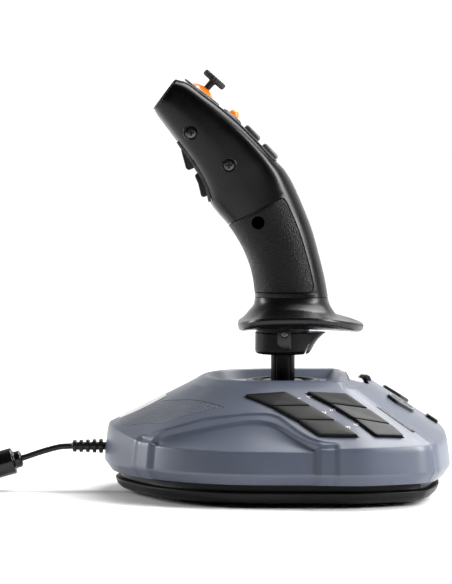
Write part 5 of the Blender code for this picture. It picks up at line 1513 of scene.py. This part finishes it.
def weave_patches(surface, looks):
    for side, word in ((-1, "left"), (1, "right")):
        def flip(points):
            return [(side * x, y) for x, y in points]
        bm = slab_between(flip(WEAVE_UPPER), flip(WEAVE_LOWER), 60, 24)
        piece(draped("weave_" + word, bm, surface), "base", looks["patch"])
        # a thin dark strip along the patch's nose and upper edge: a painted shadow of the groove at the
        # patch's border, laid on the surface instead of cut
        upper = [catmull([Vector((*p, 0)) for p in flip(WEAVE_UPPER)], t / 10) for t in range(61)]
        nose = [Vector((*flip([WEAVE_LOWER[0]])[0], 0)), Vector((*flip([WEAVE_UPPER[0]])[0], 0))]
        line = [nose[0].lerp(nose[1], k / 12) for k in range(12)] + upper
        sides = []
        for k, p in enumerate(line):
            along = (line[min(k + 1, len(line) - 1)] - line[max(k - 1, 0)]).normalized()
            across = Vector((-along.y, along.x, 0)) * 0.22
            sides.append((p - across, p + across))
        bm = bmesh.new()
        layers = [[[bm.verts.new((*q.xy, level)) for q in pair] for pair in sides] for level in (0, 1)]
        for a, b in zip(range(len(sides)), range(1, len(sides))):
            for layer in layers:
                bm.faces.new((layer[a][0], layer[b][0], layer[b][1], layer[a][1]))
            for k in (0, 1):
                bm.faces.new((layers[0][a][k], layers[0][b][k], layers[1][b][k], layers[1][a][k]))
        for k in (0, -1):
            bm.faces.new((layers[0][k][0], layers[0][k][1], layers[1][k][1], layers[1][k][0]))
        piece(draped("weave_shadow_line_" + word, bm, surface, high=0.1), "base", looks["line"])


def front_plate(surface, looks):
    """A plain pale plate down the middle of the front slope, between the two weave patches."""
    near = ((-12.5, 70), (-13.6, 79), (-12.6, 89), (-9.0, 98))
    far = tuple((-x, y) for x, y in near)
    bm = slab_between(near, far, 30, 24)
    obj = draped("plate_front", bm, surface, high=0.35)
    rounded_edges(obj, 0.25, 2, 60)
    piece(obj, "base", looks["pale"])


def digit(name, text, size, x, y, surface, look, turn=0.0):
    data = bpy.data.curves.new(name, "FONT")
    data.body = text
    data.size = size
    data.align_x = "CENTER"
    data.align_y = "CENTER"
    data.extrude = 0.5
    data.resolution_u = 3
    holder = bpy.data.objects.new(name, data)
    PIECES.objects.link(holder)
    graph = bpy.context.evaluated_depsgraph_get()
    mesh = bpy.data.meshes.new_from_object(holder.evaluated_get(graph))
    bpy.data.objects.remove(holder, do_unlink=True)
    bm = bmesh.new()
    bm.from_mesh(mesh)
    bmesh.ops.remove_doubles(bm, verts=bm.verts, dist=0.001)
    bm.transform(Matrix.Rotation(turn, 4, "Z"))
    for vert in bm.verts:
        vert.co = Vector((vert.co.x + x, vert.co.y + y, 1.0 if vert.co.z > 0 else 0.0))
    obj = draped(name, bm, surface, high=0.08)
    return piece(obj, "base", look)


def key_numbers(surface, looks):
    """White numbers beside the keys, between the two strips of each side."""
    for side, first in ((-1, 1), (1, 7)):
        for strip, offset, start in ((FRONT_STRIP, -2.4, first), (REAR_STRIP, 2.2, first + 3)):
            end = 1 if strip is FRONT_STRIP else 0
            for k in range(3):
                a, b = strip[k][end], strip[k + 1][end]
                share = 0.34 if end else 0.3
                x, y = a[0] + (b[0] - a[0]) * share, a[1] + (b[1] - a[1]) * share
                number = start + k
                digit(f"number_{number}", str(number), 4.6, side * x, y + offset, surface, looks["ink"])


def cross_screw(name, body, place, turn, look, stands_for=(), radius=3.4, head=1.3, deep=8.0):
    """A pan-head screw with a cross recess; its head's underside is at the place and it points along Z."""
    profile = [(0, head), (radius * 0.45, head), (radius * 0.8, head - 0.12), (radius * 0.95, head - 0.4),
               (radius, head - 0.8), (radius, 0), (radius * 0.42, 0), (radius * 0.42, -deep), (0, -deep)]
    obj = solid(name, lathe(profile, 40))
    tools = []
    arm, half, floor = radius * 0.62, radius * 0.15, head - 0.85
    tools.append(box("tool", PIECES, (-arm, -half, floor), (arm, half, head + 1)))
    carve(obj, tools)
    carve(obj, [box("tool", PIECES, (-half, -arm, floor), (half, arm, head + 1))])
    obj.data.transform(turn.to_4x4())
    obj.data.transform(Matrix.Translation(Vector(place)))
    return piece(obj, body, look, stands_for, smooth=30)


def closed_curve(ring, steps):
    """The ring with steps points for each of its own, on a smooth closed curve through them."""
    count = len(ring)
    padded = ring[-2:] + ring + ring[:3]
    return [catmull(padded, 2 + t / steps) for t in range(count * steps)]


BASE_SCREWS = ((-70, 40), (70, 40), (-78, -38), (78, -38), (-20, -78), (20, -78), (-22, 76), (22, 76))


def tray_and_feet(looks):
    rows = soft_profile(TRAY_INSIDE[::-1] + TRAY_SECTION, 0.9, 3)
    bm = bmesh.new()
    grid = loft(bm, [closed_curve(tray_ring(inset, z), 4) for inset, z in rows])
    bm.faces.new(grid[0])
    bm.faces.new(grid[-1])
    tray = mesh_object("tray", bm, PIECES)
    floor = TRAY_SECTION[-1][1]
    wells = [rod("tool", PIECES, 3.8, (x, y, floor - 2), (x, y, floor + 1.5), sides=40)
             for x, y in BASE_SCREWS]
    for k in range(-3, 4):
        wells.append(box("tool", PIECES, (k * 6 - 1.2, -20, floor - 2), (k * 6 + 1.2, 20, floor + 0.8)))
    carve(tray, wells)
    piece(tray, "base", looks["tray"], ["base_tray"])
    over = Matrix.Rotation(math.pi, 3, "X")
    for k, (x, y) in enumerate(BASE_SCREWS):
        cross_screw(f"base_screw_{k + 1}", "base", (x, y, floor + 1.4), over, looks["zinc"],
                    radius=2.9, head=1.1, deep=1.0)
    for name, (x, y) in FEET.items():
        profile = soft_profile([(0, floor - GAP), (FOOT_R, floor - GAP), (FOOT_R, 0.0), (4.6, 0.0),
                                (4.4, 0.35), (3.2, 0.35), (3.0, 0.0), (0, 0.0)], 0.3, 3)
        foot = solid("pad_" + name, lathe(profile, 48), (x, y, 0))
        piece(foot, "base", looks["feet"], [name])


def build_base(looks):
    cover = fine_cover()
    surface = Surface(cover)
    tools = []
    for side, word in ((-1, "left"), (1, "right")):
        for strip_name, strip in (("front", FRONT_STRIP), ("rear", REAR_STRIP)):
            tools.append(strip_keys(side, f"button_{strip_name}_{word}", strip, surface, looks))
    tools += hex_keys(surface, looks)
    outline = [surface.drop(x, y)[0] for x, y in CENTRE_BUTTON]
    normal = fitted_plane(outline)[1]
    tools.append(plane_well(outline, normal))
    centre = key_solid("key_centre_button", outline, normal)
    piece(centre, "centre_button", looks["key"], ["centre_button"])
    tools += throttle_parts(surface, looks)
    tools += lamp_strips(surface, looks)
    x, y, z = CORD_EXIT
    tools.append(rod("tool", PIECES, 2.5 + GAP, (0, y - 14, z), (0, y + 4, z), sides=40))
    weave_patches(surface, looks)
    front_plate(surface, looks)
    key_numbers(surface, looks)
    carve(cover, tools)
    piece(cover, "base", looks["paint"], ["base_cover"], smooth=31)
    weighted(cover)
    tray_and_feet(looks)
    low, high = GATE_Z
    inner, outer = GATE_R
    profile = [(inner + 1.7, high), (outer - 0.8, high), (outer - 0.2, high - 0.2), (outer, high - 0.8),
               (outer, low), (inner, low), (inner, high - 1.7)]
    piece(solid("ring_gate", lathe(profile, 96)), "base", looks["ring"], ["gate_ring"])


# ---------------------------------------------------------------- stick and grip

OUTER_ANGLES = tuple(52.6 + (180 - 52.6) * k / 30 for k in range(31))
INNER_ANGLES = (62, 68, 75, 84, 96, 109, 123, 140, 158, 180)
PAD_CORNER = {"low": 5.0, "high": 3.4}


def spaced(low, high, step):
    count = max(1, round((high - low) / step))
    return [low + (high - low) * k / count for k in range(count + 1)]


def pad_edge(s):
    """The angle of the pad's rear edge at s, which turns into both of its ends with a round corner."""
    low, high = PAD_ROWS
    shift = 0.0
    for radius, away in ((PAD_CORNER["low"], (s - low) * 10.2), (PAD_CORNER["high"], (high - s) * 11.5)):
        if 0 <= away < radius:
            shift = max(shift, radius - math.sqrt(radius ** 2 - (radius - away) ** 2))
    return PAD_ANGLE + shift / 0.35


def pad_stations():
    low, high = PAD_ROWS
    near = [0.01, 0.03, 0.07, 0.13, 0.22, 0.34, 0.5]
    far = [0.01, 0.03, 0.07, 0.13, 0.22, 0.32]
    return [low + d for d in near] + spaced(low + 0.6, high - 0.42, 0.125) + [high - d for d in far[::-1]]


def shell_stations():
    low, high = PAD_ROWS
    last = len(GRIP) - 1
    rows = [(0, False, False), (0.12, False, False), (low, False, False)]
    rows += [(s, True, False) for s in pad_stations()]
    rows += [(high, False, False)]
    rows += [(s, False, False) for s in spaced(high + 0.1, PLATE_START - 0.1, 0.16)]
    rows += [(PLATE_START - 0.02, False, False), (PLATE_START, False, True)]
    rows += [(s, False, True) for s in spaced(PLATE_START + 0.1, last - 0.12, 0.16)]
    return rows + [(last - 0.03, False, True), (last, False, True)]


def fine_outer_row(s, in_pad, under_plate, side):
    if under_plate:
        row = [section_depth(s, 0.15, SHELF_DEPTH, side),
               section_depth(s, plate_edge(s), SHELF_DEPTH, side)]
    else:
        row = [section_point(s, 0, 0, side), section_point(s, 22, 0, side)]
    start = PLATE_ANGLE + 0.6
    row += [section_point(s, start + (PAD_ANGLE - start) * k / 6, 0, side) for k in range(6)]
    edge = pad_edge(s) if PAD_ROWS[0] <= s <= PAD_ROWS[1] else PAD_ANGLE
    row.append(section_point(s, edge, 0, side))
    for angle in OUTER_ANGLES:
        wide = edge + 0.6 + (180 - edge - 0.6) * (angle - 52.6) / (180 - 52.6)
        row.append(section_point(s, wide, PAD_DEPTH if in_pad else 0, side))
    return row


def fine_inner_row(s, under_plate, side, count):
    coarse = shell_inner_row(s, under_plate, side)
    row = []
    for k in range(count):
        at = k / (count - 1) * (len(coarse) - 1)
        i = min(int(at), len(coarse) - 2)
        row.append(coarse[i].lerp(coarse[i + 1], at - i))
    return row


def fine_shell(side):
    bm = bmesh.new()
    outer, inner = [], []
    for s, in_pad, under_plate in shell_stations():
        points = fine_outer_row(s, in_pad, under_plate, side)
        outer.append([bm.verts.new(p) for p in points])
        inner.append([bm.verts.new(p) for p in fine_inner_row(s, under_plate, side, len(points))])
    count = len(outer[0])
    for skin in (outer, inner):
        for low, high in zip(skin, skin[1:]):
            for k in range(count - 1):
                bm.faces.new((low[k], low[k + 1], high[k + 1], high[k]))
    for r in range(len(outer) - 1):
        for k in (0, count - 1):
            bm.faces.new((outer[r][k], outer[r + 1][k], inner[r + 1][k], inner[r][k]))
    for k in range(count - 1):
        bm.faces.new((outer[0][k], outer[0][k + 1], inner[0][k + 1], inner[0][k]))
    bm.faces.new(outer[-1])
    bm.faces.new(inner[-1])
    bm.faces.new((outer[-1][0], outer[-1][-1], inner[-1][-1], inner[-1][0]))
    return mesh_object("shell", bm, PIECES)


def fine_pad(side):
    """The soft facing, its rim a little lower than its field."""
    low, high = PAD_ROWS
    stations = [low + 0.045] + [s for s in pad_stations() if low + 0.06 < s < high - 0.07] + [high - 0.05]
    bm = bmesh.new()
    skins = []
    for inset in (0.0, PAD_THICK):
        grid = []
        for r, s in enumerate(stations):
            edge = pad_edge(min(max(s, low + 0.05), high - 0.05)) + 1.6
            shares = [0, 0.004, 0.012] + [k / 30 for k in range(1, 31)]
            line = []
            for share in shares:
                rim = 0.25 * (share < 0.002) + 0.06 * (0.002 < share < 0.01)
                rim = max(rim, 0.25 if r in (0, len(stations) - 1) else 0.0)
                line.append(section_point(s, edge + (179.0 - edge) * share, max(inset, rim), side))
            grid.append([bm.verts.new(p) for p in line])
        skins.append(grid)
    outer, inner = skins
    count = len(outer[0])
    for skin in skins:
        for first, second in zip(skin, skin[1:]):
            for k in range(count - 1):
                bm.faces.new((first[k], first[k + 1], second[k + 1], second[k]))
    for r in range(len(stations) - 1):
        for k in (0, count - 1):
            bm.faces.new((outer[r][k], outer[r + 1][k], inner[r + 1][k], inner[r][k]))
    for r in (0, -1):
        for k in range(count - 1):
            bm.faces.new((outer[r][k], outer[r][k + 1], inner[r][k + 1], inner[r][k]))
    return mesh_object("pad", bm, PIECES)


def fine_plate_rows():
    """part.py's rows of the face plate and nose, at a closer spacing."""
    rows = []
    last = len(GRIP) - 1
    for s in [PLATE_START + 0.06] + spaced(PLATE_START + 0.15, 12.65, 0.12):
        proud = 0.5 * max(0.0, 1 - (s - PLATE_START) * 1.4)
        rows.append((section_depth(s, 0, -proud), section_depth(s, 0, SHELF_DEPTH - GAP),
                     plate_edge(s) - GAP))
    front, back, half, n_back, n_front, share = grip_section(last)
    depth = (front - back).length
    toward = (front - back) / depth
    ahead = Vector((-toward.y, toward.x, 0))
    corner = SHELF_DEPTH - GAP
    for past, reach, sunk, width in ((GAP, 0.1, corner, plate_edge(last) - GAP), (0.7, 0.22, corner, 17.7),
                                     (1.0, 0.45, corner + 0.1, 17.7), (1.35, 1.0, corner + 0.1, 18.2)):
        outer = back + toward * reach + ahead * past
        inner = back + toward * sunk + ahead * GAP
        rows.append((Vector((0, outer.x, outer.y)), Vector((0, inner.x, inner.y)), width))
    for t in (0.1, 0.14, 0.18, 0.25, 0.33, 0.42, 0.5, 0.57, 0.64, 0.7, 0.76, 0.81, 0.86, 0.9, 0.93, 0.955,
              0.975):
        n = n_back if t < share else n_front
        near = 1 - t / share if t < share else (t - share) / (1 - share)
        width = half * math.sin(math.acos(near ** (n / 2))) ** (2 / n)
        outer = back + toward * depth * t + ahead * NOSE_THICK
        inside = back + toward * max(depth * t, corner + 0.2) + ahead * GAP
        rows.append((Vector((0, outer.x, outer.y)), Vector((0, inside.x, inside.y)), width - 0.2))
    return rows


def fine_plate():
    rings = []
    for outer, inner, half in fine_plate_rows():
        down = inner - outer
        toward = down.normalized()
        edge = min(0.8, down.length * 0.5)
        points = [outer, outer]
        reach = [0, half - 2.5]
        for k in range(5):
            angle = k * math.pi / 8
            points.append(outer + toward * edge * (1 - math.cos(angle)))
            reach.append(half - 0.9 + 0.9 * math.sin(angle))
        points += [inner, inner]
        reach += [half, 0]
        rings.append(mirrored_ring([p + Vector((x, 0, 0)) for p, x in zip(points, reach)]))
    return solid("face", capped(rings))


def face_controls(looks):
    """The thumb joystick, the orange button and the four keys, and the holes they need in the plate."""
    tools = []
    seat, normal, _ = face_at(STICK_SEAT_Y)
    pivot, axis = stick_pivot(), stick_axis()
    turn = tilt_matrix(axis)
    radius, skirt = STICK_DOME_R, math.radians(STICK_SKIRT)
    inner = radius - 1.4
    angles = [math.asin(1.5 / radius) + (skirt - math.asin(1.5 / radius)) * k / 24 for k in range(25)]
    profile = [(1.5, radius - 2.5)] + [(radius * math.sin(a), radius * math.cos(a)) for a in angles]
    profile += [(inner * math.sin(a), inner * math.cos(a)) for a in reversed(angles[2:])]
    dome = solid("dome_ministick", lathe(profile, 72), pivot, turn)
    piece(dome, "ministick", looks["orange"], ["ministick_dome"])
    piece(thumb_cap(pivot, turn), "ministick", looks["cap"], ["ministick_cap"])
    window = lathe([(0, 6), (9.2, 6), (9.2, 0), (11.5, -3.4), (11.5, -4), (0, -4)], 72)
    tools.append(solid("tool", window, seat, tilt_matrix(normal)))
    ring = soft_profile([(9.25, -0.4), (9.25, 0.55), (9.9, 0.95), (12.2, 0.95), (13.0, 0.3), (13.0, -0.4)],
                        0.3, 3)
    obj = solid("bezel_ministick", lathe(ring, 72), seat, tilt_matrix(normal))
    piece(obj, "grip", looks["control"])
    seat, normal, _ = face_at(ORANGE_SEAT_Y)
    dome = [(0, ORANGE_PROUD)]
    for k in range(1, 9):
        angle = k * math.pi / 18
        dome.append((ORANGE_R * math.sin(angle * 1.12), ORANGE_PROUD - 3.0 * (1 - math.cos(angle * 1.12))))
    profile = [p for p in dome if p[0] < ORANGE_R]
    profile += [(ORANGE_R, ORANGE_PROUD - 3.0), (ORANGE_R, -THUMB_SUNK), (0, -THUMB_SUNK)]
    obj = solid("dome_orange_button", lathe(profile, 48), seat, tilt_matrix(normal))
    piece(obj, "orange_button", looks["orange"], ["orange_button"])
    tools.append(rod("tool", PIECES, ORANGE_R + GAP, seat - normal * 6, seat + normal * 3, sides=48))
    ring = soft_profile([(3.6, -0.4), (3.6, 0.9), (5.2, 1.15), (7.0, 0.25), (7.0, -0.4)], 0.3, 3)
    obj = solid("bezel_orange", lathe(ring, 56), seat, tilt_matrix(normal))
    piece(obj, "grip", looks["control"])
    for row, y in THUMB_SEATS.items():
        seat, normal, up = face_at(y)
        half = up * THUMB_LENGTH / 2
        for side, word in ((-1, "left"), (1, "right")):
            near, far = Vector((side * THUMB_X[0], 0, 0)), Vector((side * THUMB_X[1], 0, 0))
            outline = [seat + near + half, seat + far + half * 0.92, seat + far - half * 0.92,
                       seat + near - half]
            name = f"thumb_button_{row}_{word}"
            piece(thumb_key("key_" + name, outline, normal), name, looks["thumb"], [name])
            wide = rounded_outline(inset_outline(outline, -GAP), 1.3, 4)
            tools.append(prism("tool", PIECES, [p - normal * 7 for p in wide], normal * 12))
    return tools


def thumb_key(name, outline, normal):
    """A thumb key with a broad chamfer and a dished top."""
    line = rounded_outline(outline, 1.2, 4)
    middle = sum(line, Vector()) / len(line)
    rings = [[p - normal * THUMB_SUNK for p in line], [p + normal * (THUMB_PROUD - 1.25) for p in line],
             [p + normal * (THUMB_PROUD - 1.0) for p in inset_outline(line, 0.06)],
             [p + normal * (THUMB_PROUD - 0.2) for p in inset_outline(line, 0.85)],
             [p + normal * THUMB_PROUD for p in inset_outline(line, 1.15)]]
    base = inset_outline(line, 1.15)
    for share in (0.12, 0.3, 0.6, 0.85):
        dish = 0.45 * (1 - (1 - share) ** 2)
        rings.append([p.lerp(middle, share) + normal * (THUMB_PROUD - dish) for p in base])
    return solid(name, capped(rings))


def thumb_cap(pivot, turn):
    """The small stick's cap: a disc with a knurled rim and rows of dots, on a slim stem."""
    def ripple(angle, radius, height):
        return radius - (0.28 * (0.5 + 0.5 * math.cos(angle * 22)) if radius > 7.3 else 0)
    profile = soft_profile([(0, 20.0), (6.0, 20.0), (6.6, 20.4), (7.3, 20.2), (7.75, 19.5), (7.75, 17.5),
                            (7.3, 16.9), (6.6, 16.6), (2.6, 16.6), (2.05, 16.0), (1.95, 10.6), (0, 10.6)],
                           0.35, 3)
    bm = lathe(profile, 176, ripple)
    for row in range(-3, 4):
        for column in range(-3, 4):
            x, y = column * 1.7, row * 1.7
            if x * x + y * y > 5.3 ** 2:
                continue
            dots = bmesh.ops.create_uvsphere(bm, u_segments=10, v_segments=6, radius=0.5)
            for vert in dots["verts"]:
                vert.co += Vector((x, y, 20.05))
    return solid("cap_ministick", bm, pivot, turn)


def extended(path, more):
    points = [Vector((*p, 0)) for p in path]
    start = points[0] + (points[0] - points[1]).normalized() * more
    end = points[-1] + (points[-1] - points[-2]).normalized() * more
    return [(start.x, start.y)] + list(path[1:-1]) + [(end.x, end.y)]


def side_of(shell, y, z):
    bm = bmesh.new()
    bm.from_mesh(shell.data)
    tree = BVHTree.FromBMesh(bm)
    bm.free()
    return tree.ray_cast(Vector((-60, y, z)), Vector((1, 0, 0)))[0].x


def build_grip(looks):
    left, right = fine_shell(-1), fine_shell(1)
    pads = {"left": fine_pad(-1), "right": fine_pad(1)}
    plate = fine_plate()
    carve(plate, face_controls(looks))
    healed(plate)
    piece(plate, "grip", looks["plate"], ["face_plate"], smooth=30)
    turn = Matrix.Rotation(math.radians(-90), 3, "Y")
    wells = []
    for name, (y, z) in SCREWS.items():
        floor = side_of(left, y, z) + 1.75
        wells.append(rod("tool", PIECES, SCREW_WELL_R, (-40, y, z), (floor, y, z), sides=56))
        wells.append(rod("tool", PIECES, 1.8, (floor - 1, y, z), (floor + 9, y, z), sides=24))
        cross_screw("head_" + name, "grip", (floor - 0.1, y, z), turn, looks["zinc"], [name])
        lip = soft_profile([(3.95, -1.0), (3.95, 0.32), (4.5, 0.32), (4.75, -0.1), (4.75, -1.0)], 0.15, 2)
        surface = side_of(left, y, z)
        obj = solid("rim_" + name, lathe(lip, 56), (surface, y, z), turn)
        piece(obj, "grip", looks["rim_dark"])
    y, z = PAD_HOLE
    hole = rod("tool", PIECES, 3.9, (-40, y, z), (-5, y, z), sides=56)
    second = rod("tool", PIECES, 3.9, (-40, y, z), (-5, y, z), sides=56)
    carve(pads["left"], [hole])
    seat, normal, _ = face_at(STICK_SEAT_Y)
    for shell in (left, right):
        bay = rod("tool", PIECES, 12.4, seat - normal * 9, seat + normal * 3, sides=48)
        carve(shell, [bay])
        openings = trigger_openings()
        carve(shell, [openings[0]])
        carve(shell, [openings[1]])
    carve(left, wells + [second])
    trigger_parts(looks)
    for word, shell in (("left", left), ("right", right)):
        healed(shell)
        shell.name = "shell_" + word
        pads[word].name = "pad_" + word
        piece(shell, "grip", looks["grip"], ["grip_shell_" + word], smooth=32)
        piece(pads[word], "grip", looks["pad"], ["grip_pad_" + word], smooth=30)


def trigger_openings():
    path = fine_path()
    return [band_prism("tool", PIECES, extended(path, 0.4), 4, 1.5, TRIGGER_PLATE_HALF + GAP),
            band_prism("tool", PIECES, between(path, 1.2, 27), 3, 8, TRIGGER_HALF + 1.3)]


def fine_path():
    points = [Vector((*q, 0)) for q in TRIGGER_PATH]
    fine = [catmull(points, t / 4) for t in range(4 * (len(points) - 1) + 1)]
    return [(p.x, p.y) for p in fine]


def trigger_parts(looks):
    path = fine_path()
    bezel = band_prism("bezel_trigger", PIECES, path, 0.5, 1.2, TRIGGER_PLATE_HALF)
    windows = []
    for start, end in ((0.42, 3.02), (3.36, 6.72)):
        windows.append(band_prism("tool", PIECES, between(path, start * 4, end * 4), 3, 3,
                                  TRIGGER_HALF + 0.5))
    carve(bezel, windows)
    rounded_edges(bezel, 0.25, 2, 50)
    piece(bezel, "grip", looks["control"], ["trigger_plate"])
    for name, outline in (("trigger_upper", UPPER_TRIGGER), ("trigger_lower", LOWER_TRIGGER)):
        line = rounded_outline([Vector((-TRIGGER_HALF, y, z)) for y, z in outline], 0.9, 4)
        obj = prism("lever_" + name, PIECES, line, (2 * TRIGGER_HALF, 0, 0))
        rounded_edges(obj, 0.7, 4, 50)
        piece(obj, name, looks["key"], [name])


def smooth_column(points, keep, steps):
    """The points with a smooth curve through the first `keep` of them, and small arcs at the others."""
    top = [catmull(points[:keep], t / steps) for t in range(steps * (keep - 1) + 1)]
    rest = filleted(points[keep - 1:], [0, 0.5, 1.2, 2.0, 3.0, 0], 3)
    return top[:-1] + rest


def build_rest_and_hub(looks):
    columns = 48
    halves = []
    for k in range(columns + 1):
        points = rest_column(k / columns)
        halves.append(smooth_column(points, 7, 4))
    rings = [mirrored_ring([half[row] for half in halves]) for row in range(len(halves[0]))]
    piece(solid("rest", capped(rings)), "grip", looks["rest"], ["hand_rest"], smooth=40)
    bottom = HUB_Z[0]
    levels = [(bottom, 0.0, HUB_R - 1.6), (bottom + 0.45, 0.0, HUB_R - 0.8), (bottom + 1.5, 0.1, HUB_R)]
    table = [Vector((z, flare, 0)) for z, flare in HUB_FLARE]
    levels += [(p.x, max(p.y, 0.1), HUB_R) for p in [catmull(table, t / 4) for t in range(3, 17)]]
    top = HUB_FLARE[-1][0]
    levels += [(top + 0.25, HUB_FLARE[-1][1] - 0.3, HUB_R - 0.2), (top + 0.4, 0.0, HUB_NECK_R),
               (HUB_Z[1] - 0.3, 0.0, HUB_NECK_R), (HUB_Z[1], 0.0, HUB_NECK_R - 0.3)]
    hub = solid("hub", capped([hub_ring(z, flare, radius, 96) for z, flare, radius in levels]))
    bore = rod("tool", PIECES, SHAFT_R + 0.4, (0, 0, bottom - 5), (0, 0, SHAFT_Z[1] + 2.4), sides=64)
    carve(hub, [bore])
    slit = [(-30, y, z) for y, z in ((-13.2, 81), (-11.9, 81), (-15.1, 88.6), (-16.0, 88.6))]
    carve(hub, [prism("tool", PIECES, slit, (60, 0, 0))])
    y, z = HUB_SCREW
    floor = -HUB_R + 1.3
    carve(hub, [rod("tool", PIECES, 2.4, (-25, y, z), (floor, y, z), sides=40)])
    piece(hub, "grip", looks["hub"], ["lower_hub"], smooth=40)
    turn = Matrix.Rotation(math.radians(-90), 3, "Y")
    cross_screw("head_hub_screw", "grip", (floor - 1.3, y, z), turn, looks["zinc"], ["hub_screw"],
                radius=2.0, head=1.1, deep=0.8)
    outline = [Vector((-HUB_R - 0.25, a, b)) for a, b in HUB_SHIELD]
    line = rounded_outline(outline, 0.9, 4)
    rings = [[p + Vector((2.6, 0, 0)) for p in line], line,
             [p - Vector((0.2, 0, 0)) for p in inset_outline(line, 0.3)]]
    shield = solid("shield", capped(rings))
    carve(shield, [rod("tool", PIECES, 2.4, (-25, y, z), (0, y, z), sides=40)])
    piece(shield, "grip", looks["rim_dark"], smooth=40)


def build_stick(looks):
    low, high = SHAFT_Z

    def keyway(angle, radius, height):
        if radius < SHAFT_R - 0.1 or height < low + 8:
            return radius
        away = min(abs((math.degrees(angle) - centre + 180) % 360 - 180) for centre in (215, 322, 35, 142))
        return radius - 0.45 * eased((5.0 - away) / 2.0)
    profile = [(0, high), (SHAFT_R - 0.6, high), (SHAFT_R, high - 0.6), (SHAFT_R, low + 9),
               (SHAFT_R, low + 6), (SHAFT_R - 2, low + 4), (SHAFT_R - 2, low), (0, low)]
    shaft = solid("shaft", lathe(profile, 144, keyway))
    piece(shaft, "stick", looks["shaft"], ["stick_shaft"])
    outer, inner = DOME_R, DOME_R - 1.4
    start, skirt = math.acos(DOME_FLAT / outer), math.radians(DOME_SKIRT)
    angles = [start + (skirt - start) * k / 24 for k in range(25)]
    profile = [(SHAFT_R + GAP, DOME_FLAT - 1.4), (SHAFT_R + GAP, DOME_FLAT)]
    profile += [(outer * math.sin(a), outer * math.cos(a)) for a in angles]
    profile += [(inner * math.sin(a), inner * math.cos(a)) for a in reversed(angles[2:])]
    dome = solid("dome_dust", lathe(profile, 96), (0, 0, PIVOT_Z))
    piece(dome, "stick", looks["shaft"], ["dust_dome"])


HIDDEN = {"gimbal_bracket": "zinc", "gimbal_ring": "zinc", "centring_spring": "steel", "main_board": "board",
          "ministick_yoke": "zinc"}


def finish_hidden(looks):
    """The parts under the cover keep their CAD shapes and take finished materials."""
    for name, look in HIDDEN.items():
        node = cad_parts[name]
        for slot in node.material_slots:
            slot.material = looks[look]


LOOKS = make_looks()
stage_camera()
build_cord(LOOKS)
build_base(LOOKS)
build_stick(LOOKS)
build_rest_and_hub(LOOKS)
build_grip(LOOKS)
finish_hidden(LOOKS)
stage_floor()
stage_lights()

bpy.context.view_layer.update()
